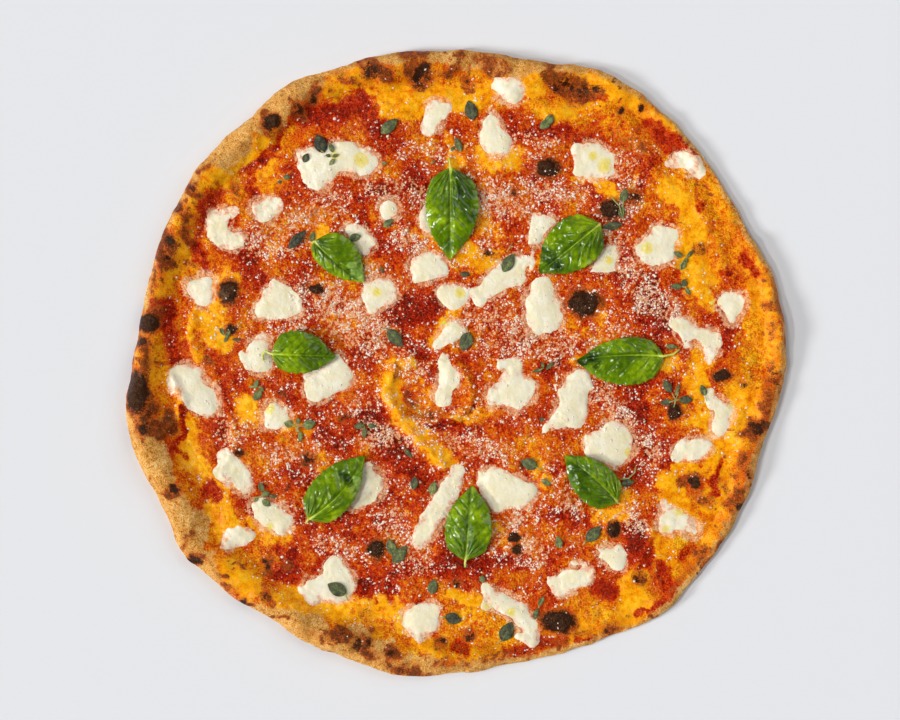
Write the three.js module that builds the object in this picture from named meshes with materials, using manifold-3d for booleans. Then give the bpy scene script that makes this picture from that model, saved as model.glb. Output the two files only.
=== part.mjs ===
// Margherita pizza, 33 cm across: one sheet of dough with its rim and folds, the pieces of mozzarella that
// melted on it and the basil leaves laid on top.
// Millimetres, +Z up. The flat underside lies on Z = 0, and the origin is under the middle of the pizza.

import * as THREE from 'three';
import { mergeVertices } from 'three/addons/utils/BufferGeometryUtils.js';
import Module from 'manifold-3d';

const wasm = await Module();
wasm.setup();

// ---- Driving dimensions -----------------------------------------------------------------------------

const BED = 3.6;             // dough with its sauce, over the middle
const EDGE_STEPS = 90;       // steps round the crust
const EDGE_MIDDLE = [0, 1];  // point that the radii of EDGE_WALK are measured from
const UNDERCUT = 3;          // how far the rim's underside curls in before it touches the stone
const REST_GAP = 0.3;        // free space kept under each topping
const CHEESE_MARGIN = 2.5;   // how near a piece of cheese may come to the edge of the crust
const CHEESE_SINK = 1.6;     // how far down in the bed a piece of cheese starts before it is cut
const LEAF_THICKNESS = 0.6;
const STEM_WIDTH = 1.5;

// A walk round the edge, anticlockwise from +X: [degrees, radius, height of the crest, width of the rim].
// The rim is thin and low on the right, where the sauce runs out to it, and puffs up on the left.
const EDGE_WALK = [
  [0, 164.8, 8, 12], [12, 163.8, 7, 10], [22, 160.2, 6.5, 9], [33, 158.8, 6, 9], [45, 160.6, 6, 9],
  [58, 162.8, 7, 11], [66, 161.6, 8, 14], [73, 156.6, 8, 15], [84, 155.3, 9, 17], [97, 156.4, 10, 18],
  [107, 159, 10, 20], [116, 160.6, 9.5, 20], [121, 163.2, 11, 22], [127, 161.6, 10.5, 20],
  [132, 160.4, 10, 19], [141.5, 162.4, 10, 18], [157, 161, 9.5, 17], [167, 159.8, 9.5, 15],
  [179, 161.8, 10, 16], [190, 168.4, 14, 23], [197, 166.8, 13, 23], [206, 164, 10.5, 21],
  [214.5, 168, 10.5, 22],
  [220, 164.8, 10, 22], [226, 162.8, 10, 22], [233, 158.4, 9.5, 20], [240, 160, 9.5, 20],
  [250, 157.6, 10, 22], [260.5, 159.8, 10, 22], [270, 155.1, 8.5, 16], [283, 153.2, 6.5, 10],
  [295, 155.6, 6, 9], [303, 158.8, 6, 9], [310, 162.9, 6.5, 10], [317, 160.2, 6, 9],
  [331, 160, 6.5, 10], [343, 157.5, 8, 13], [352, 160.4, 8, 13],
];

// The rim's section, from the underside up over the crest: [share of the way in from edge to crest,
// share of the crest's height]. The inner slope then runs down to the bed.
const RIM_SECTION = [[0.12, 0.16], [0, 0.42], [0.2, 0.72], [0.55, 0.93], [1, 1]];
const CREST_SHARE = 0.42;                   // crest's distance from the edge, as a share of the rim's width
const INNER_SLOPE = [[0.4, 0.7], [0.75, 0.2], [1, 0]];  // [share of the way in, share of the drop left]
const BED_ROWS = [0.84, 0.62, 0.4, 0.2, 0];             // rows over the bed, as shares of its radius

// Long, low swells of the bed: [height, wave length along X, wave length along Y, phase]
const SWELLS = [[0.45, 96, 140, 0.6], [0.35, -74, 88, 2.1], [0.25, 52, -47, 4]];

// The bubble that fell in at the middle: an oval ring with a fold that runs out of it
const BUBBLE = { middle: [-14, -14], halfLength: 22.5, halfWidth: 16.5, turn: -8, ridge: 3.2, rise: 2.2 };
const FOLD = { from: [-31, -25], to: [-6, -49], radius: 2.6, rise: 1.6 };

// Each piece of mozzarella: its rise over the bed, then the puddles that ran together, as [x, y, radius]
const MOZZARELLA = [
  [2.4, [-77, 103, 6], [-69, 100, 9], [-59, 106, 8], [-51, 101, 8], [-43, 101, 6], [-70, 91, 7]],
  [1.5, [-122, 73, 5], [-122, 65, 5], [-114, 61, 6], [-108, 62, 4.5], [-115, 76, 3.5], [-109, 76, 3]],
  [1.3, [-99, 78, 6], [-93, 79, 5], [-89, 81, 3], [-96, 74, 4]],
  [1.7, [-35, 77, 6.8]],
  [2.0, [-50, 64, 6], [-46, 58, 5.5], [-55, 67, 3.5]],
  [1.3, [-13, 129, 4.5], [-7, 129, 4], [-10, 123, 4], [-15, 117, 4], [-11, 118.5, 3]],
  [1.9, [21, 139, 5.5], [27, 137, 6], [30, 133, 4.5], [31, 141, 3], [24, 134, 4]],
  [2.2, [19, 110, 8], [15, 115, 5], [16.5, 122, 4], [23, 112, 5], [17, 127, 2]],
  [2.3, [63, 105, 6], [70, 106, 6.5], [63, 98, 6.5], [71, 98, 6.5], [76, 96, 4.5], [76, 104, 4]],
  [1.6, [107, 101, 3.5], [113, 103, 4.5], [119, 104, 3.5], [121, 99, 4.5], [118, 96, 4], [124.5, 98, 2.5]],
  [2.0, [101, 66, 6], [107, 64.5, 6], [97, 58, 7.5], [92, 55, 5], [105, 55, 6], [99, 52, 5]],
  [2.0, [74, 54, 6.5], [68, 48, 4], [76, 49, 4.5], [77, 58, 3]],
  [2.0, [40, 70, 6], [39, 62, 5], [46, 71, 4.5], [38, 60.5, 3]],
  [2.5, [-19, 50, 6.5], [-13, 51, 6.5], [-8, 46.5, 4.5], [-20, 43.5, 4.5], [-15, 45, 5], [-24, 51, 3]],
  [2.5, [33.5, 52, 5.5], [29, 49, 7], [22, 43, 7], [15, 39, 5.5], [16, 34, 3.5], [30, 43, 5], [11, 36, 3]],
  [3.0, [42, 35, 8], [44, 24, 9], [39, 20, 6.5], [38, 29, 7], [42, 41, 4], [47, 19, 5.5]],
  [2.2, [-42, 36, 6.5], [-36, 36, 6.5], [-43, 30, 5.5], [-36, 32, 5], [-39, 40, 4]],
  [1.8, [-3, 34, 6], [2, 34.5, 4.5], [-8, 36, 4], [-2, 30, 4]],
  [2.4, [-92, 37, 6.5], [-96, 28, 7], [-87, 30, 7.5], [-81, 28, 5], [-86, 35, 5.5], [-100, 25, 3.5]],
  [2.0, [-128, 38, 6.5], [-127, 33, 5.5], [-124, 43, 3.5], [-135, 41, 3.5], [-133, 37, 4]],
  [1.8, [-102, 3, 6.5], [-98, 10, 5.5], [-97, 2, 5], [-103, 8, 3.5], [-95, -3, 3], [-101, -3, 3.5]],
  [2.8, [-72, -13, 7.5], [-64, -8, 8], [-57, -7, 6], [-61, 0, 6], [-59, 5, 2.5], [-66, -14, 5]],
  [2.8, [-138, -4, 5.5], [-131, -5, 5], [-133, -13, 7.5], [-126, -17, 7.5], [-123, -22, 5], [-129, -22, 5]],
  [2.0, [-91, -26, 7.5], [-86, -28, 4], [-95, -29, 4.5], [-93, -21, 4]],
  [2.0, [-2, 18, 5.5], [-5, 15, 5], [1, 17, 4.5], [-3, 21, 3.5], [-9, 12, 3]],
  [1.8, [-5, -1, 3.5], [-4, -7, 5.5], [-7, -12, 5], [-10, -17, 3], [0, -9, 3]],
  [2.8, [26, -3, 4.5], [31, 0, 3], [28, -12, 8], [34, -13, 6.5], [20, -14, 6], [17, -18, 5.5],
    [30, -20, 5.5]],
  [2.6, [60, -6, 5], [62, -12, 6.5], [56, -14, 6.5], [60, -20, 5.5], [53, -23, 6], [59, -28, 5.5],
    [49, -30, 5]],
  [3.0, [73, -40, 9.5], [81, -38, 8.5], [77, -33, 6], [67, -40, 5.5], [77, -47, 6], [83, -45, 4.5]],
  [1.6, [110, 21, 4], [108, 17, 3], [115, 18, 4], [114, 12, 4.5], [121, 16, 4], [128, 15, 5], [128, 8, 5],
    [123, 2, 3]],
  [2.4, [131, 31, 4.5], [137, 32, 5], [142, 33.5, 4], [136, 26, 4.5], [137, 21, 3.5], [140, 28, 4]],
  [1.8, [128, -17, 3.5], [130, -21, 5], [133, -25, 5], [131, -31, 4.5], [130.5, -35.5, 3], [137, -22, 3.5]],
  [1.8, [113, -42, 5.5], [119, -42, 6], [124, -41, 4.5], [109, -46, 3], [117, -46, 3.5]],
  [1.8, [104, -70, 3.5], [105, -76, 5.5], [104, -82, 5], [110, -78, 4.5], [116, -79, 3.5], [119, -84, 4.5]],
  [2.0, [75, -94, 5.5], [80, -95, 5], [78, -100, 5], [82, -102.5, 2.5], [72, -96, 3.5]],
  [1.8, [53, -111, 6.5], [50, -109, 4], [59, -105, 5], [64, -103, 5], [66, -107, 3.5], [58, -112, 4]],
  [3.0, [16, -57, 7], [21, -62, 9], [29, -64, 8.5], [35, -64, 5.5], [20, -69, 6], [30, -69, 5]],
  [2.2, [-43, -58, 6.5], [-42, -63, 6], [-46, -51, 3.5], [-48, -67, 4.5], [-53, -71, 3.5]],
  [1.8, [-1, -57, 4.5], [-5, -62, 5.5], [-8, -68, 5.5], [-11, -75, 5], [-14, -82, 4.5], [-17, -88, 4],
    [-21, -91, 3]],
  [1.8, [-117, -46, 4], [-113, -51, 5.5], [-118, -56, 3], [-110, -57, 6], [-107, -62, 5], [-106, -53, 3.5]],
  [2.4, [-101, -72, 5], [-97, -76, 6], [-91, -76, 7], [-86, -78, 5.5], [-89, -82, 4.5], [-97, -69, 3.5]],
  [1.4, [-113, -87, 4.5], [-108, -85, 4], [-104, -86, 3], [-115, -91, 3]],
  [2.6, [-62, -100, 6.5], [-60, -106, 6.5], [-58, -112, 6.5], [-64, -113, 7], [-72, -112, 5],
    [-76, -110, 4], [-54, -109, 4]],
  [2.0, [-20, -124, 5.5], [-12, -123, 5], [-14, -130, 5.5], [-21, -132, 5.5], [-24, -127, 5],
    [-20, -137, 3]],
  [2.4, [16, -114, 4], [18, -119, 6], [25, -121, 6], [30, -122, 5.5], [33, -128, 6.5], [36, -134, 5.5]],
  [1.8, [-16, 80, 3], [-17, 75, 3.5], [-15, 69, 4.5]],
];

// Basil leaves: where the stem ends, where the blade starts and ends, its half widths on the left and right
// of that way, and how far the blade arches up
const BASIL = [
  { stem: [-3.5, 105], base: [-4, 99], tip: [-4.5, 52], left: 14.5, right: 12, arch: 2.4 },
  { stem: [-74.5, 62], base: [-73, 61], tip: [-47, 41], left: 12.5, right: 7, arch: 3 },
  { stem: [73, 71], base: [71.5, 70], tip: [40, 46], left: 12.5, right: 13.5, arch: 3 },
  { stem: [-97, 2], base: [-94, 5.5], tip: [-61, 3.5], left: 12, right: 9.2, arch: 3.2 },
  { stem: [111, 7], base: [103.5, 4], tip: [59, 1], left: 13.2, right: 10.6, arch: 2.6 },
  { stem: [-76, -79.5], base: [-75, -78], tip: [-47, -45.5], left: 10.8, right: 11.2, arch: 3.4 },
  { stem: [3.8, -101.5], base: [3.5, -98.5], tip: [7.5, -60.5], left: 11.8, right: 11.6, arch: 2.6 },
  { stem: [81.5, -71], base: [80, -69.5], tip: [53.5, -45.5], left: 11, right: 10, arch: 3 },
];

// ---- Materials --------------------------------------------------------------------------------------

const finish = (color, roughness) => new THREE.MeshStandardMaterial({ color, roughness, metalness: 0 });
const bakedCrust = () => finish('#d59a58', 0.75);
const meltedCheese = () => finish('#efe9cb', 0.4);
const freshLeaf = () => finish('#5f8a12', 0.35);

// ---- Shared geometry --------------------------------------------------------------------------------

const { degToRad, radToDeg, lerp } = THREE.MathUtils;

/** Smooth value of one column of EDGE_WALK at an angle, by a cubic through the four stations round it. */
function edgeValue(degrees, column) {
  const count = EDGE_WALK.length;
  const turn = ((degrees % 360) + 360) % 360;
  let last = EDGE_WALK.findIndex(([at]) => at > turn);
  if (last < 0) last = count;
  const station = (i) => EDGE_WALK[(i + count) % count];
  const place = (i) => station(i)[0] + 360 * Math.floor(i / count);
  const around = [last - 2, last - 1, last, last + 1];
  const [a, b, c, d] = around.map((i) => ({ at: place(i), is: station(i)[column] }));
  const span = c.at - b.at;
  const t = (turn - b.at) / span;
  const slopeB = ((c.is - a.is) / (c.at - a.at)) * span;
  const slopeC = ((d.is - b.is) / (d.at - b.at)) * span;
  const t2 = t * t;
  const t3 = t2 * t;
  return (2 * t3 - 3 * t2 + 1) * b.is + (t3 - 2 * t2 + t) * slopeB
    + (3 * t2 - 2 * t3) * c.is + (t3 - t2) * slopeC;
}

/** Height of the bed over a point, with its long swells. */
function bedHeight(x, y) {
  return SWELLS.reduce((z, [height, along, across, phase]) => (
    z + height * Math.sin((2 * Math.PI * x) / along + (2 * Math.PI * y) / across + phase)), BED);
}

/** Gives every vertex of a geometry the place that a function works out from its own place and number. */
function reshape(geometry, place) {
  const { position } = geometry.attributes;
  const point = new THREE.Vector3();
  for (let i = 0; i < position.count; i++) {
    point.fromBufferAttribute(position, i);
    place(point, i);
    position.setXYZ(i, point.x, point.y, point.z);
  }
  return geometry;
}

/** Closed geometry whose faces share their corners. */
function welded(geometry) {
  geometry.deleteAttribute('normal');
  geometry.deleteAttribute('uv');
  return mergeVertices(geometry, 1e-4);
}

function toManifold(geometry) {
  const closed = welded(geometry);
  const vertProperties = new Float32Array(closed.attributes.position.array);
  const triVerts = new Uint32Array(closed.index.array);
  return new wasm.Manifold(new wasm.Mesh({ numProp: 3, vertProperties, triVerts }));
}

function toGeometry(manifold) {
  const { vertProperties, triVerts } = manifold.getMesh();
  const geometry = new THREE.BufferGeometry();
  geometry.setAttribute('position', new THREE.BufferAttribute(new Float32Array(vertProperties), 3));
  geometry.setIndex(new THREE.BufferAttribute(new Uint32Array(triVerts), 1));
  geometry.computeVertexNormals();
  return geometry;
}

function namedMesh(name, geometry, material) {
  const mesh = new THREE.Mesh(geometry, material);
  mesh.name = name;
  return mesh;
}

// ---- Crust ------------------------------------------------------------------------------------------

/** The crust's section at an angle, from the underside's middle out, up and back in: [radius, height]. */
function crustSection(degrees) {
  const [radius, crest, width] = [1, 2, 3].map((column) => edgeValue(degrees, column));
  const [cos, sin] = [Math.cos(degToRad(degrees)), Math.sin(degToRad(degrees))];
  const bedAt = (r) => bedHeight(EDGE_MIDDLE[0] + r * cos, EDGE_MIDDLE[1] + r * sin);
  const crestIn = width * CREST_SHARE;
  const foot = radius - width;
  const under = [[0, 0], [radius - UNDERCUT, 0]];
  const over = RIM_SECTION.map(([inward, up]) => [radius - crestIn * inward, crest * up]);
  const down = INNER_SLOPE.map(([inward, left]) => (
    [radius - lerp(crestIn, width, inward), lerp(bedAt(foot), crest, left)]));
  const bed = BED_ROWS.map((share) => [foot * share, bedAt(foot * share)]);
  return [...under, ...over, ...down, ...bed];
}

/** The whole sheet of dough: a lathe whose section changes on the way round. */
function doughSheet() {
  const sections = Array.from({ length: EDGE_STEPS }, (_, i) => crustSection((360 / EDGE_STEPS) * i));
  const rows = sections[0].length;
  const blank = sections[0].map(([r, z]) => new THREE.Vector2(r, z));
  const sheet = new THREE.LatheGeometry(blank, EDGE_STEPS);
  return reshape(sheet, (point, i) => {
    const step = Math.floor(i / rows) % EDGE_STEPS;
    const [r, z] = sections[step][i % rows];
    const angle = degToRad((360 / EDGE_STEPS) * step);
    point.set(EDGE_MIDDLE[0] + r * Math.cos(angle), EDGE_MIDDLE[1] + r * Math.sin(angle), z);
  });
}

/** The oval ridge round the fallen bubble, sunk halfway into the bed. */
function bubbleRidge() {
  const { middle, halfLength, halfWidth, turn, ridge, rise } = BUBBLE;
  const ring = new THREE.TorusGeometry(halfLength, ridge, 6, 22);
  ring.scale(1, halfWidth / halfLength, rise / ridge);
  ring.rotateZ(degToRad(turn));
  ring.translate(...middle, bedHeight(...middle));
  return ring;
}

/** The low fold that runs out of the bubble. */
function runningFold() {
  const from = new THREE.Vector3(...FOLD.from, BED);
  const to = new THREE.Vector3(...FOLD.to, BED);
  const fold = new THREE.CapsuleGeometry(FOLD.radius, from.distanceTo(to), 3, 8);
  fold.rotateZ(Math.PI / 2);
  fold.scale(1, 1, FOLD.rise / FOLD.radius);
  fold.rotateZ(Math.atan2(to.y - from.y, to.x - from.x));
  const middle = from.add(to).multiplyScalar(0.5);
  fold.translate(middle.x, middle.y, bedHeight(middle.x, middle.y));
  return fold;
}

// ---- Toppings ---------------------------------------------------------------------------------------

/** How far a piece of cheese reaches from its middle one way, where its puddles melt into one outline. */
function cheeseReach(puddles, middle, way) {
  const melt = ({ x, y }) => puddles.reduce((sum, [px, py, r]) => (
    sum + Math.exp(2.5 * (1 - ((x - px) ** 2 + (y - py) ** 2) / (r * r)))), 0);
  const toEdge = ({ x, y }) => {
    const [dx, dy] = [x - EDGE_MIDDLE[0], y - EDGE_MIDDLE[1]];
    return edgeValue(radToDeg(Math.atan2(dy, dx)), 1) - Math.hypot(dx, dy);
  };
  const at = (reach) => middle.clone().addScaledVector(way, reach);
  let reach = Math.max(...puddles.map(([x, y, r]) => Math.hypot(x - middle.x, y - middle.y) + r));
  while (reach > 2 && (melt(at(reach)) < 1 || toEdge(at(reach)) < CHEESE_MARGIN)) reach -= 0.1;
  return reach;
}

/** The corners of a piece's outline, closer together at the ends of a long piece than along its sides. */
function cheeseOutline(puddles, steps) {
  const weight = puddles.reduce((sum, [, , r]) => sum + r * r, 0);
  const mean = (value) => puddles.reduce((sum, [x, y, r]) => sum + value(x, y, r) * r * r, 0) / weight;
  const middle = new THREE.Vector2(mean((x) => x), mean((x, y) => y));
  const xx = mean((x, y, r) => (x - middle.x) ** 2 + (r * r) / 4);
  const yy = mean((x, y, r) => (y - middle.y) ** 2 + (r * r) / 4);
  const xy = mean((x, y) => (x - middle.x) * (y - middle.y));
  const turn = Math.atan2(2 * xy, xx - yy) / 2;
  const spread = Math.hypot((xx - yy) / 2, xy);
  const [length, width] = [Math.sqrt((xx + yy) / 2 + spread), Math.sqrt((xx + yy) / 2 - spread)];
  return Array.from({ length: steps }, (_, i) => {
    const angle = (2 * Math.PI * i) / steps;
    const way = new THREE.Vector2(length * Math.cos(angle), width * Math.sin(angle)).normalize();
    way.rotateAround(new THREE.Vector2(), turn);
    return way.clone().multiplyScalar(cheeseReach(puddles, middle, way)).add(middle);
  });
}

/** One melted piece: a low dome over its outline, cut from below by the crust. */
function cheesePiece([rise, ...puddles], raisedCrust) {
  const size = Math.hypot(...puddles.map(([, , r]) => r));
  const steps = Math.round(7.5 + size / 2);
  const corners = cheeseOutline(puddles, steps);
  const middle = corners.reduce((sum, corner) => sum.add(corner), new THREE.Vector2()).divideScalar(steps);
  const section = [[0, -CHEESE_SINK], [1.03, -CHEESE_SINK], [0.84, rise * 0.85], [0, rise]];
  const dome = new THREE.LatheGeometry(section.map(([r, z]) => new THREE.Vector2(r, z)), steps);
  reshape(dome, (point, i) => {
    const step = Math.floor(i / section.length) % steps;
    const [share, height] = section[i % section.length];
    const { x, y } = middle.clone().lerp(corners[step], share);
    point.set(x, y, crustTop(x, y) + height);
  });
  return toGeometry(toManifold(dome).subtract(raisedCrust));
}

/** Half width of a basil blade at a share of the way from base to tip, as a share of the widest. */
const bladeWidth = (t) => (Math.sqrt(t) * (1 - t) ** 0.75) / 0.431;

/** One basil leaf: a box bent to the blade and its stem, let down until it rests on what lies below. */
function basilLeaf({ stem, base, tip, left, right, arch }, heightBelow) {
  const [start, from, to] = [stem, base, tip].map(([x, y]) => new THREE.Vector2(x, y));
  const way = to.clone().sub(from).normalize();
  const side = new THREE.Vector2(-way.y, way.x);
  const [stemRows, bladeRows] = [1, 7];
  const leaf = new THREE.BoxGeometry(stemRows + bladeRows, 2, LEAF_THICKNESS, stemRows + bladeRows, 4, 1);
  leaf.translate((stemRows + bladeRows) / 2, 0, 0);
  reshape(leaf, (point) => {
    const row = point.x - stemRows;
    const across = point.y;
    const t = Math.max(row / bladeRows, 0);
    const along = row < 0 ? start.clone().lerp(from, point.x / stemRows) : from.clone().lerp(to, t);
    const half = Math.max(bladeWidth(t) * (across > 0 ? left : right), STEM_WIDTH / 2);
    along.addScaledVector(side, across * half);
    const droop = row < 0 ? 0.3 * row * row : 0;
    const lift = arch * (Math.sin(Math.PI * Math.min(t + 0.12, 1)) - 0.55 * across * across * (1 - t));
    point.set(along.x, along.y, point.z + lift - droop);
  });
  const { position } = leaf.attributes;
  let drop = -Infinity;
  for (let i = 0; i < position.count; i++) {
    const clear = heightBelow(position.getX(i), position.getY(i)) + 2 * REST_GAP;
    drop = Math.max(drop, clear - position.getZ(i));
  }
  leaf.translate(0, 0, drop);
  return welded(leaf);
}

// ---- The pizza --------------------------------------------------------------------------------------

const crustSolid = toManifold(doughSheet()).add(toManifold(bubbleRidge())).add(toManifold(runningFold()));
const crust = namedMesh('crust', toGeometry(crustSolid), bakedCrust());
const raisedCrust = crustSolid.translate([0, 0, REST_GAP]);

/** A function that gives the height of the highest of some meshes over a point. */
function heightOver(meshes) {
  const caster = new THREE.Raycaster();
  const down = new THREE.Vector3(0, 0, -1);
  const high = 100;
  return (x, y) => {
    caster.set(new THREE.Vector3(x, y, high), down);
    const [hit] = caster.intersectObjects(meshes, false);
    return hit ? hit.point.z : 0;
  };
}

const crustTop = heightOver([crust]);
const cheese = MOZZARELLA.map((piece, i) => {
  const name = `mozzarella_${String(i + 1).padStart(2, '0')}`;
  return namedMesh(name, cheesePiece(piece, raisedCrust), meltedCheese());
});
const toppedHeight = heightOver([crust, ...cheese]);
const basil = BASIL.map((leaf, i) => (
  namedMesh(`basil_leaf_${i + 1}`, basilLeaf(leaf, toppedHeight), freshLeaf())));

const pizza = new THREE.Group();
pizza.add(crust, ...cheese, ...basil);
const middle = new THREE.Box3().setFromObject(crust).getCenter(new THREE.Vector3());
pizza.position.set(-middle.x, -middle.y, 0);

export default pizza;
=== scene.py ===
"""A thin margherita from a stone oven: dough, tomato sauce, mozzarella, grated hard cheese, basil and herbs.

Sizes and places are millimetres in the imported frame: X across, Y away, Z up from the floor. A mesh turns to
metres when it is finished.
"""

import logging
import math
from dataclasses import dataclass, field
from enum import Enum, IntEnum
from typing import ClassVar, Iterable, Sequence

import bmesh
import bpy
import numpy as np
from mathutils import Matrix, Vector
from mathutils.bvhtree import BVHTree
from mathutils.kdtree import KDTree


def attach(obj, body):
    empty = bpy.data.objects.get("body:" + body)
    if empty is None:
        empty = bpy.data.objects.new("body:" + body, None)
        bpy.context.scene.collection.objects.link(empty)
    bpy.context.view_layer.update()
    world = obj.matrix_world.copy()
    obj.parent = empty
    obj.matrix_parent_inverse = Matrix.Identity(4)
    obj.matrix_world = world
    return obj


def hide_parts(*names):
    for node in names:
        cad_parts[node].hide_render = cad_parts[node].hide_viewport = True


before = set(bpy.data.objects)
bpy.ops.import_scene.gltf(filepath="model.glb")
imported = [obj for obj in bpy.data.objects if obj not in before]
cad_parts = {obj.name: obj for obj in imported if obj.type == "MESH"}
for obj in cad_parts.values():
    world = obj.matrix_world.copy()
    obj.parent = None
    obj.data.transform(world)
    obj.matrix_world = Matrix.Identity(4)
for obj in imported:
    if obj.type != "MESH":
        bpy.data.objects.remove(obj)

LOG = logging.getLogger("pizza")
MM = 0.001            # metres in a millimetre
BAKE_MAP = "OFBake"   # name of a flat UV map laid over the large pieces
Array = np.ndarray
BMesh, Mesh, Piece = bmesh.types.BMesh, bpy.types.Mesh, bpy.types.Object
NodeTree, Socket = bpy.types.NodeTree, bpy.types.NodeSocket


class Slot(Enum):
    """The record's material slots."""

    CRUST = "baked_crust"
    SAUCE = "tomato_sauce"
    MOZZARELLA = "mozzarella"
    GRATED = "grated_cheese"
    BASIL = "basil"
    HERB = "dried_herb"
    OIL = "olive_oil"


# ---- Numbers over the plane --------------------------------------------------------------------------------


def smooth_step(low: float, high: float, value: Array) -> Array:
    """Eases from 0 at low to 1 at high."""
    share = np.clip((value - low) / (high - low), 0.0, 1.0)
    return share * share * (3.0 - 2.0 * share)


def around(angle: Array, radius: Array | float) -> Array:
    """Points at some angles and distances from the middle, one to a row."""
    return np.stack([np.cos(angle), np.sin(angle)], axis=1) * np.reshape(radius, (-1, 1))


def bump(gap: Array, width: float | Array) -> Array:
    """A bell curve, which is 1 where the gap is 0 and fades within a width or two."""
    return np.exp(-((gap / width) ** 2))


def laid_over(height: Array, below: Array | float, ease: float = 0.6) -> Array:
    """Lifts a sheet softly where it would touch what lies below it.

    Args:
        height: the sheet's own heights.
        below: the heights that it must stay above.
        ease: how softly it bends away, in millimetres.

    Returns:
        The new heights.
    """
    return below + ease * np.logaddexp(0.0, (height - below) / ease)


class SoftNoise:
    """Seeded noise over the plane, from about -1 to 1."""

    TABLE = 64

    def __init__(self, seed: int, size: float, octaves: int = 3) -> None:
        """Draws the noise's tables.

        Args:
            seed: picks the pattern.
            size: width of its largest blobs, in millimetres.
            octaves: how many times it is repeated at half the size and strength.
        """
        draw = np.random.default_rng(seed)
        self.tables = draw.uniform(-1.0, 1.0, (octaves, self.TABLE, self.TABLE))
        self.turns = draw.uniform(0.0, math.tau, octaves)
        self.size = size

    def at(self, xy: Array) -> Array:
        """Reads the noise.

        Args:
            xy: points, one to a row.

        Returns:
            One number for each point.
        """
        total = np.zeros(len(xy))
        for octave, (table, turn) in enumerate(zip(self.tables, self.turns)):
            spin = np.array([[math.cos(turn), math.sin(turn)], [-math.sin(turn), math.cos(turn)]])
            place = xy @ spin * (2**octave / self.size)
            cell = np.floor(place).astype(int)
            u, v = (smooth_step(0.0, 1.0, place - cell)).T
            i, j = (cell % self.TABLE).T
            k, m = (i + 1) % self.TABLE, (j + 1) % self.TABLE
            near = table[i, j] * (1 - u) + table[k, j] * u
            far = table[i, m] * (1 - u) + table[k, m] * u
            total += (near * (1 - v) + far * v) * 0.5**octave
        return total


class Noise(Enum):
    """The pizza's own noises: [seed, size, octaves]."""

    BLISTER_SKIN = (12, 2.2, 2)
    BARE_BORDER = (51, 11.0, 4)
    RIM_REACH = (52, 24.0, 2)
    WARMTH = (53, 12.0, 4)
    TOAST = (55, 5.0, 4)
    TOASTED_EDGE = (56, 26.0, 4)
    FRECKLES = (57, 10.0, 3)
    SPECKS = (58, 3.0, 2)
    MILK = (62, 6.0, 3)
    SCORCH = (63, 3.0, 3)
    DIMPLES = (71, 8.0, 2)
    LEOPARD = (81, 15.0, 2)
    DEEP_SPOTS = (82, 8.0, 2)
    SHORE = (91, 12.0, 3)
    LACE = (160, 3.4, 3)
    STAIN = (170, 5.0, 3)
    THIN_BORDER = (171, 3.5, 3)
    CRUMPLE = (203, 3.0, 2)
    PLEATS = (230, 9.0, 1)
    CLUMPS = (242, 3.6, 3)
    DROP_TOP = (310, 1.3, 2)

    def at(self, xy: Array) -> Array:
        """Reads the noise at some points."""
        return SoftNoise(*self.value).at(xy)


class Warp(Enum):
    """Ways of pushing points about, so that what is drawn over them turns ragged: [seed, size, push]."""

    FOLDS = (11, 14.0, 1.6)
    WIDE = (41, 16.0, 3.0)
    CLOSE = (45, 5.0, 1.6)
    SCORCH = (61, 4.0, 0.8)
    LEOPARD = (83, 8.0, 3.5)
    UNDERSIDE = (200, 3.0, 0.5)
    DENTS = (202, 3.0, 0.8)
    SHADE = (204, 4.0, 1.0)
    DRIFTS = (241, 14.0, 4.0)

    def move(self, xy: Array) -> Array:
        """The moved points."""
        seed, size, push = self.value
        return xy + push * np.stack([SoftNoise(seed + k, size).at(xy) for k in range(2)], axis=1)


def line_gap(xy: Array, points: Sequence[tuple[float, float]]) -> Array:
    """Distance from each of some places to the nearest point of a bent line."""
    nearest = np.full(len(xy), np.inf)
    for start, end in zip(points, points[1:]):
        way = np.subtract(end, start)
        share = np.clip((xy - start) @ way / max(way @ way, 1e-9), 0.0, 1.0)
        nearest = np.minimum(nearest, np.linalg.norm(xy - start - share[:, None] * way, axis=1))
    return nearest


def arc(
    middle: tuple[float, float], half: tuple[float, float], turn: float, start: float, end: float
) -> list[tuple[float, float]]:
    """Points along part of an oval.

    Args:
        middle: the oval's middle.
        half: half its length and half its width.
        turn: degrees that its length is turned from X.
        start: degrees round the oval where the part starts.
        end: degrees where it ends.

    Returns:
        Points about every 8 degrees.
    """
    count = max(3, round(abs(end - start) / 8))
    lean = math.radians(turn)
    points = []
    for degrees in np.linspace(start, end, count):
        x = half[0] * math.cos(math.radians(degrees))
        y = half[1] * math.sin(math.radians(degrees))
        points.append((
            middle[0] + x * math.cos(lean) - y * math.sin(lean),
            middle[1] + x * math.sin(lean) + y * math.cos(lean),
        ))
    return points


@dataclass(frozen=True)
class Smear:
    """A soft patch along a line, such as a streak of oil or a scorched spot."""

    x0: float
    y0: float
    x1: float
    y1: float
    reach: float
    strength: float = 1.0

    @property
    def ends(self) -> tuple[tuple[float, float], tuple[float, float]]:
        """Where its line starts and ends."""
        return (self.x0, self.y0), (self.x1, self.y1)


def smears(*rows: tuple[float, ...]) -> tuple[Smear, ...]:
    """Patches from rows of x and y of the start, x and y of the end, reach and strength, or 1."""
    return tuple(Smear(*row) for row in rows)


def spots(*rows: tuple[float, ...]) -> tuple[Smear, ...]:
    """Round patches from rows of x, y, reach and strength, or 1."""
    return tuple(Smear(x, y, x, y, *rest) for x, y, *rest in rows)


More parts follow.
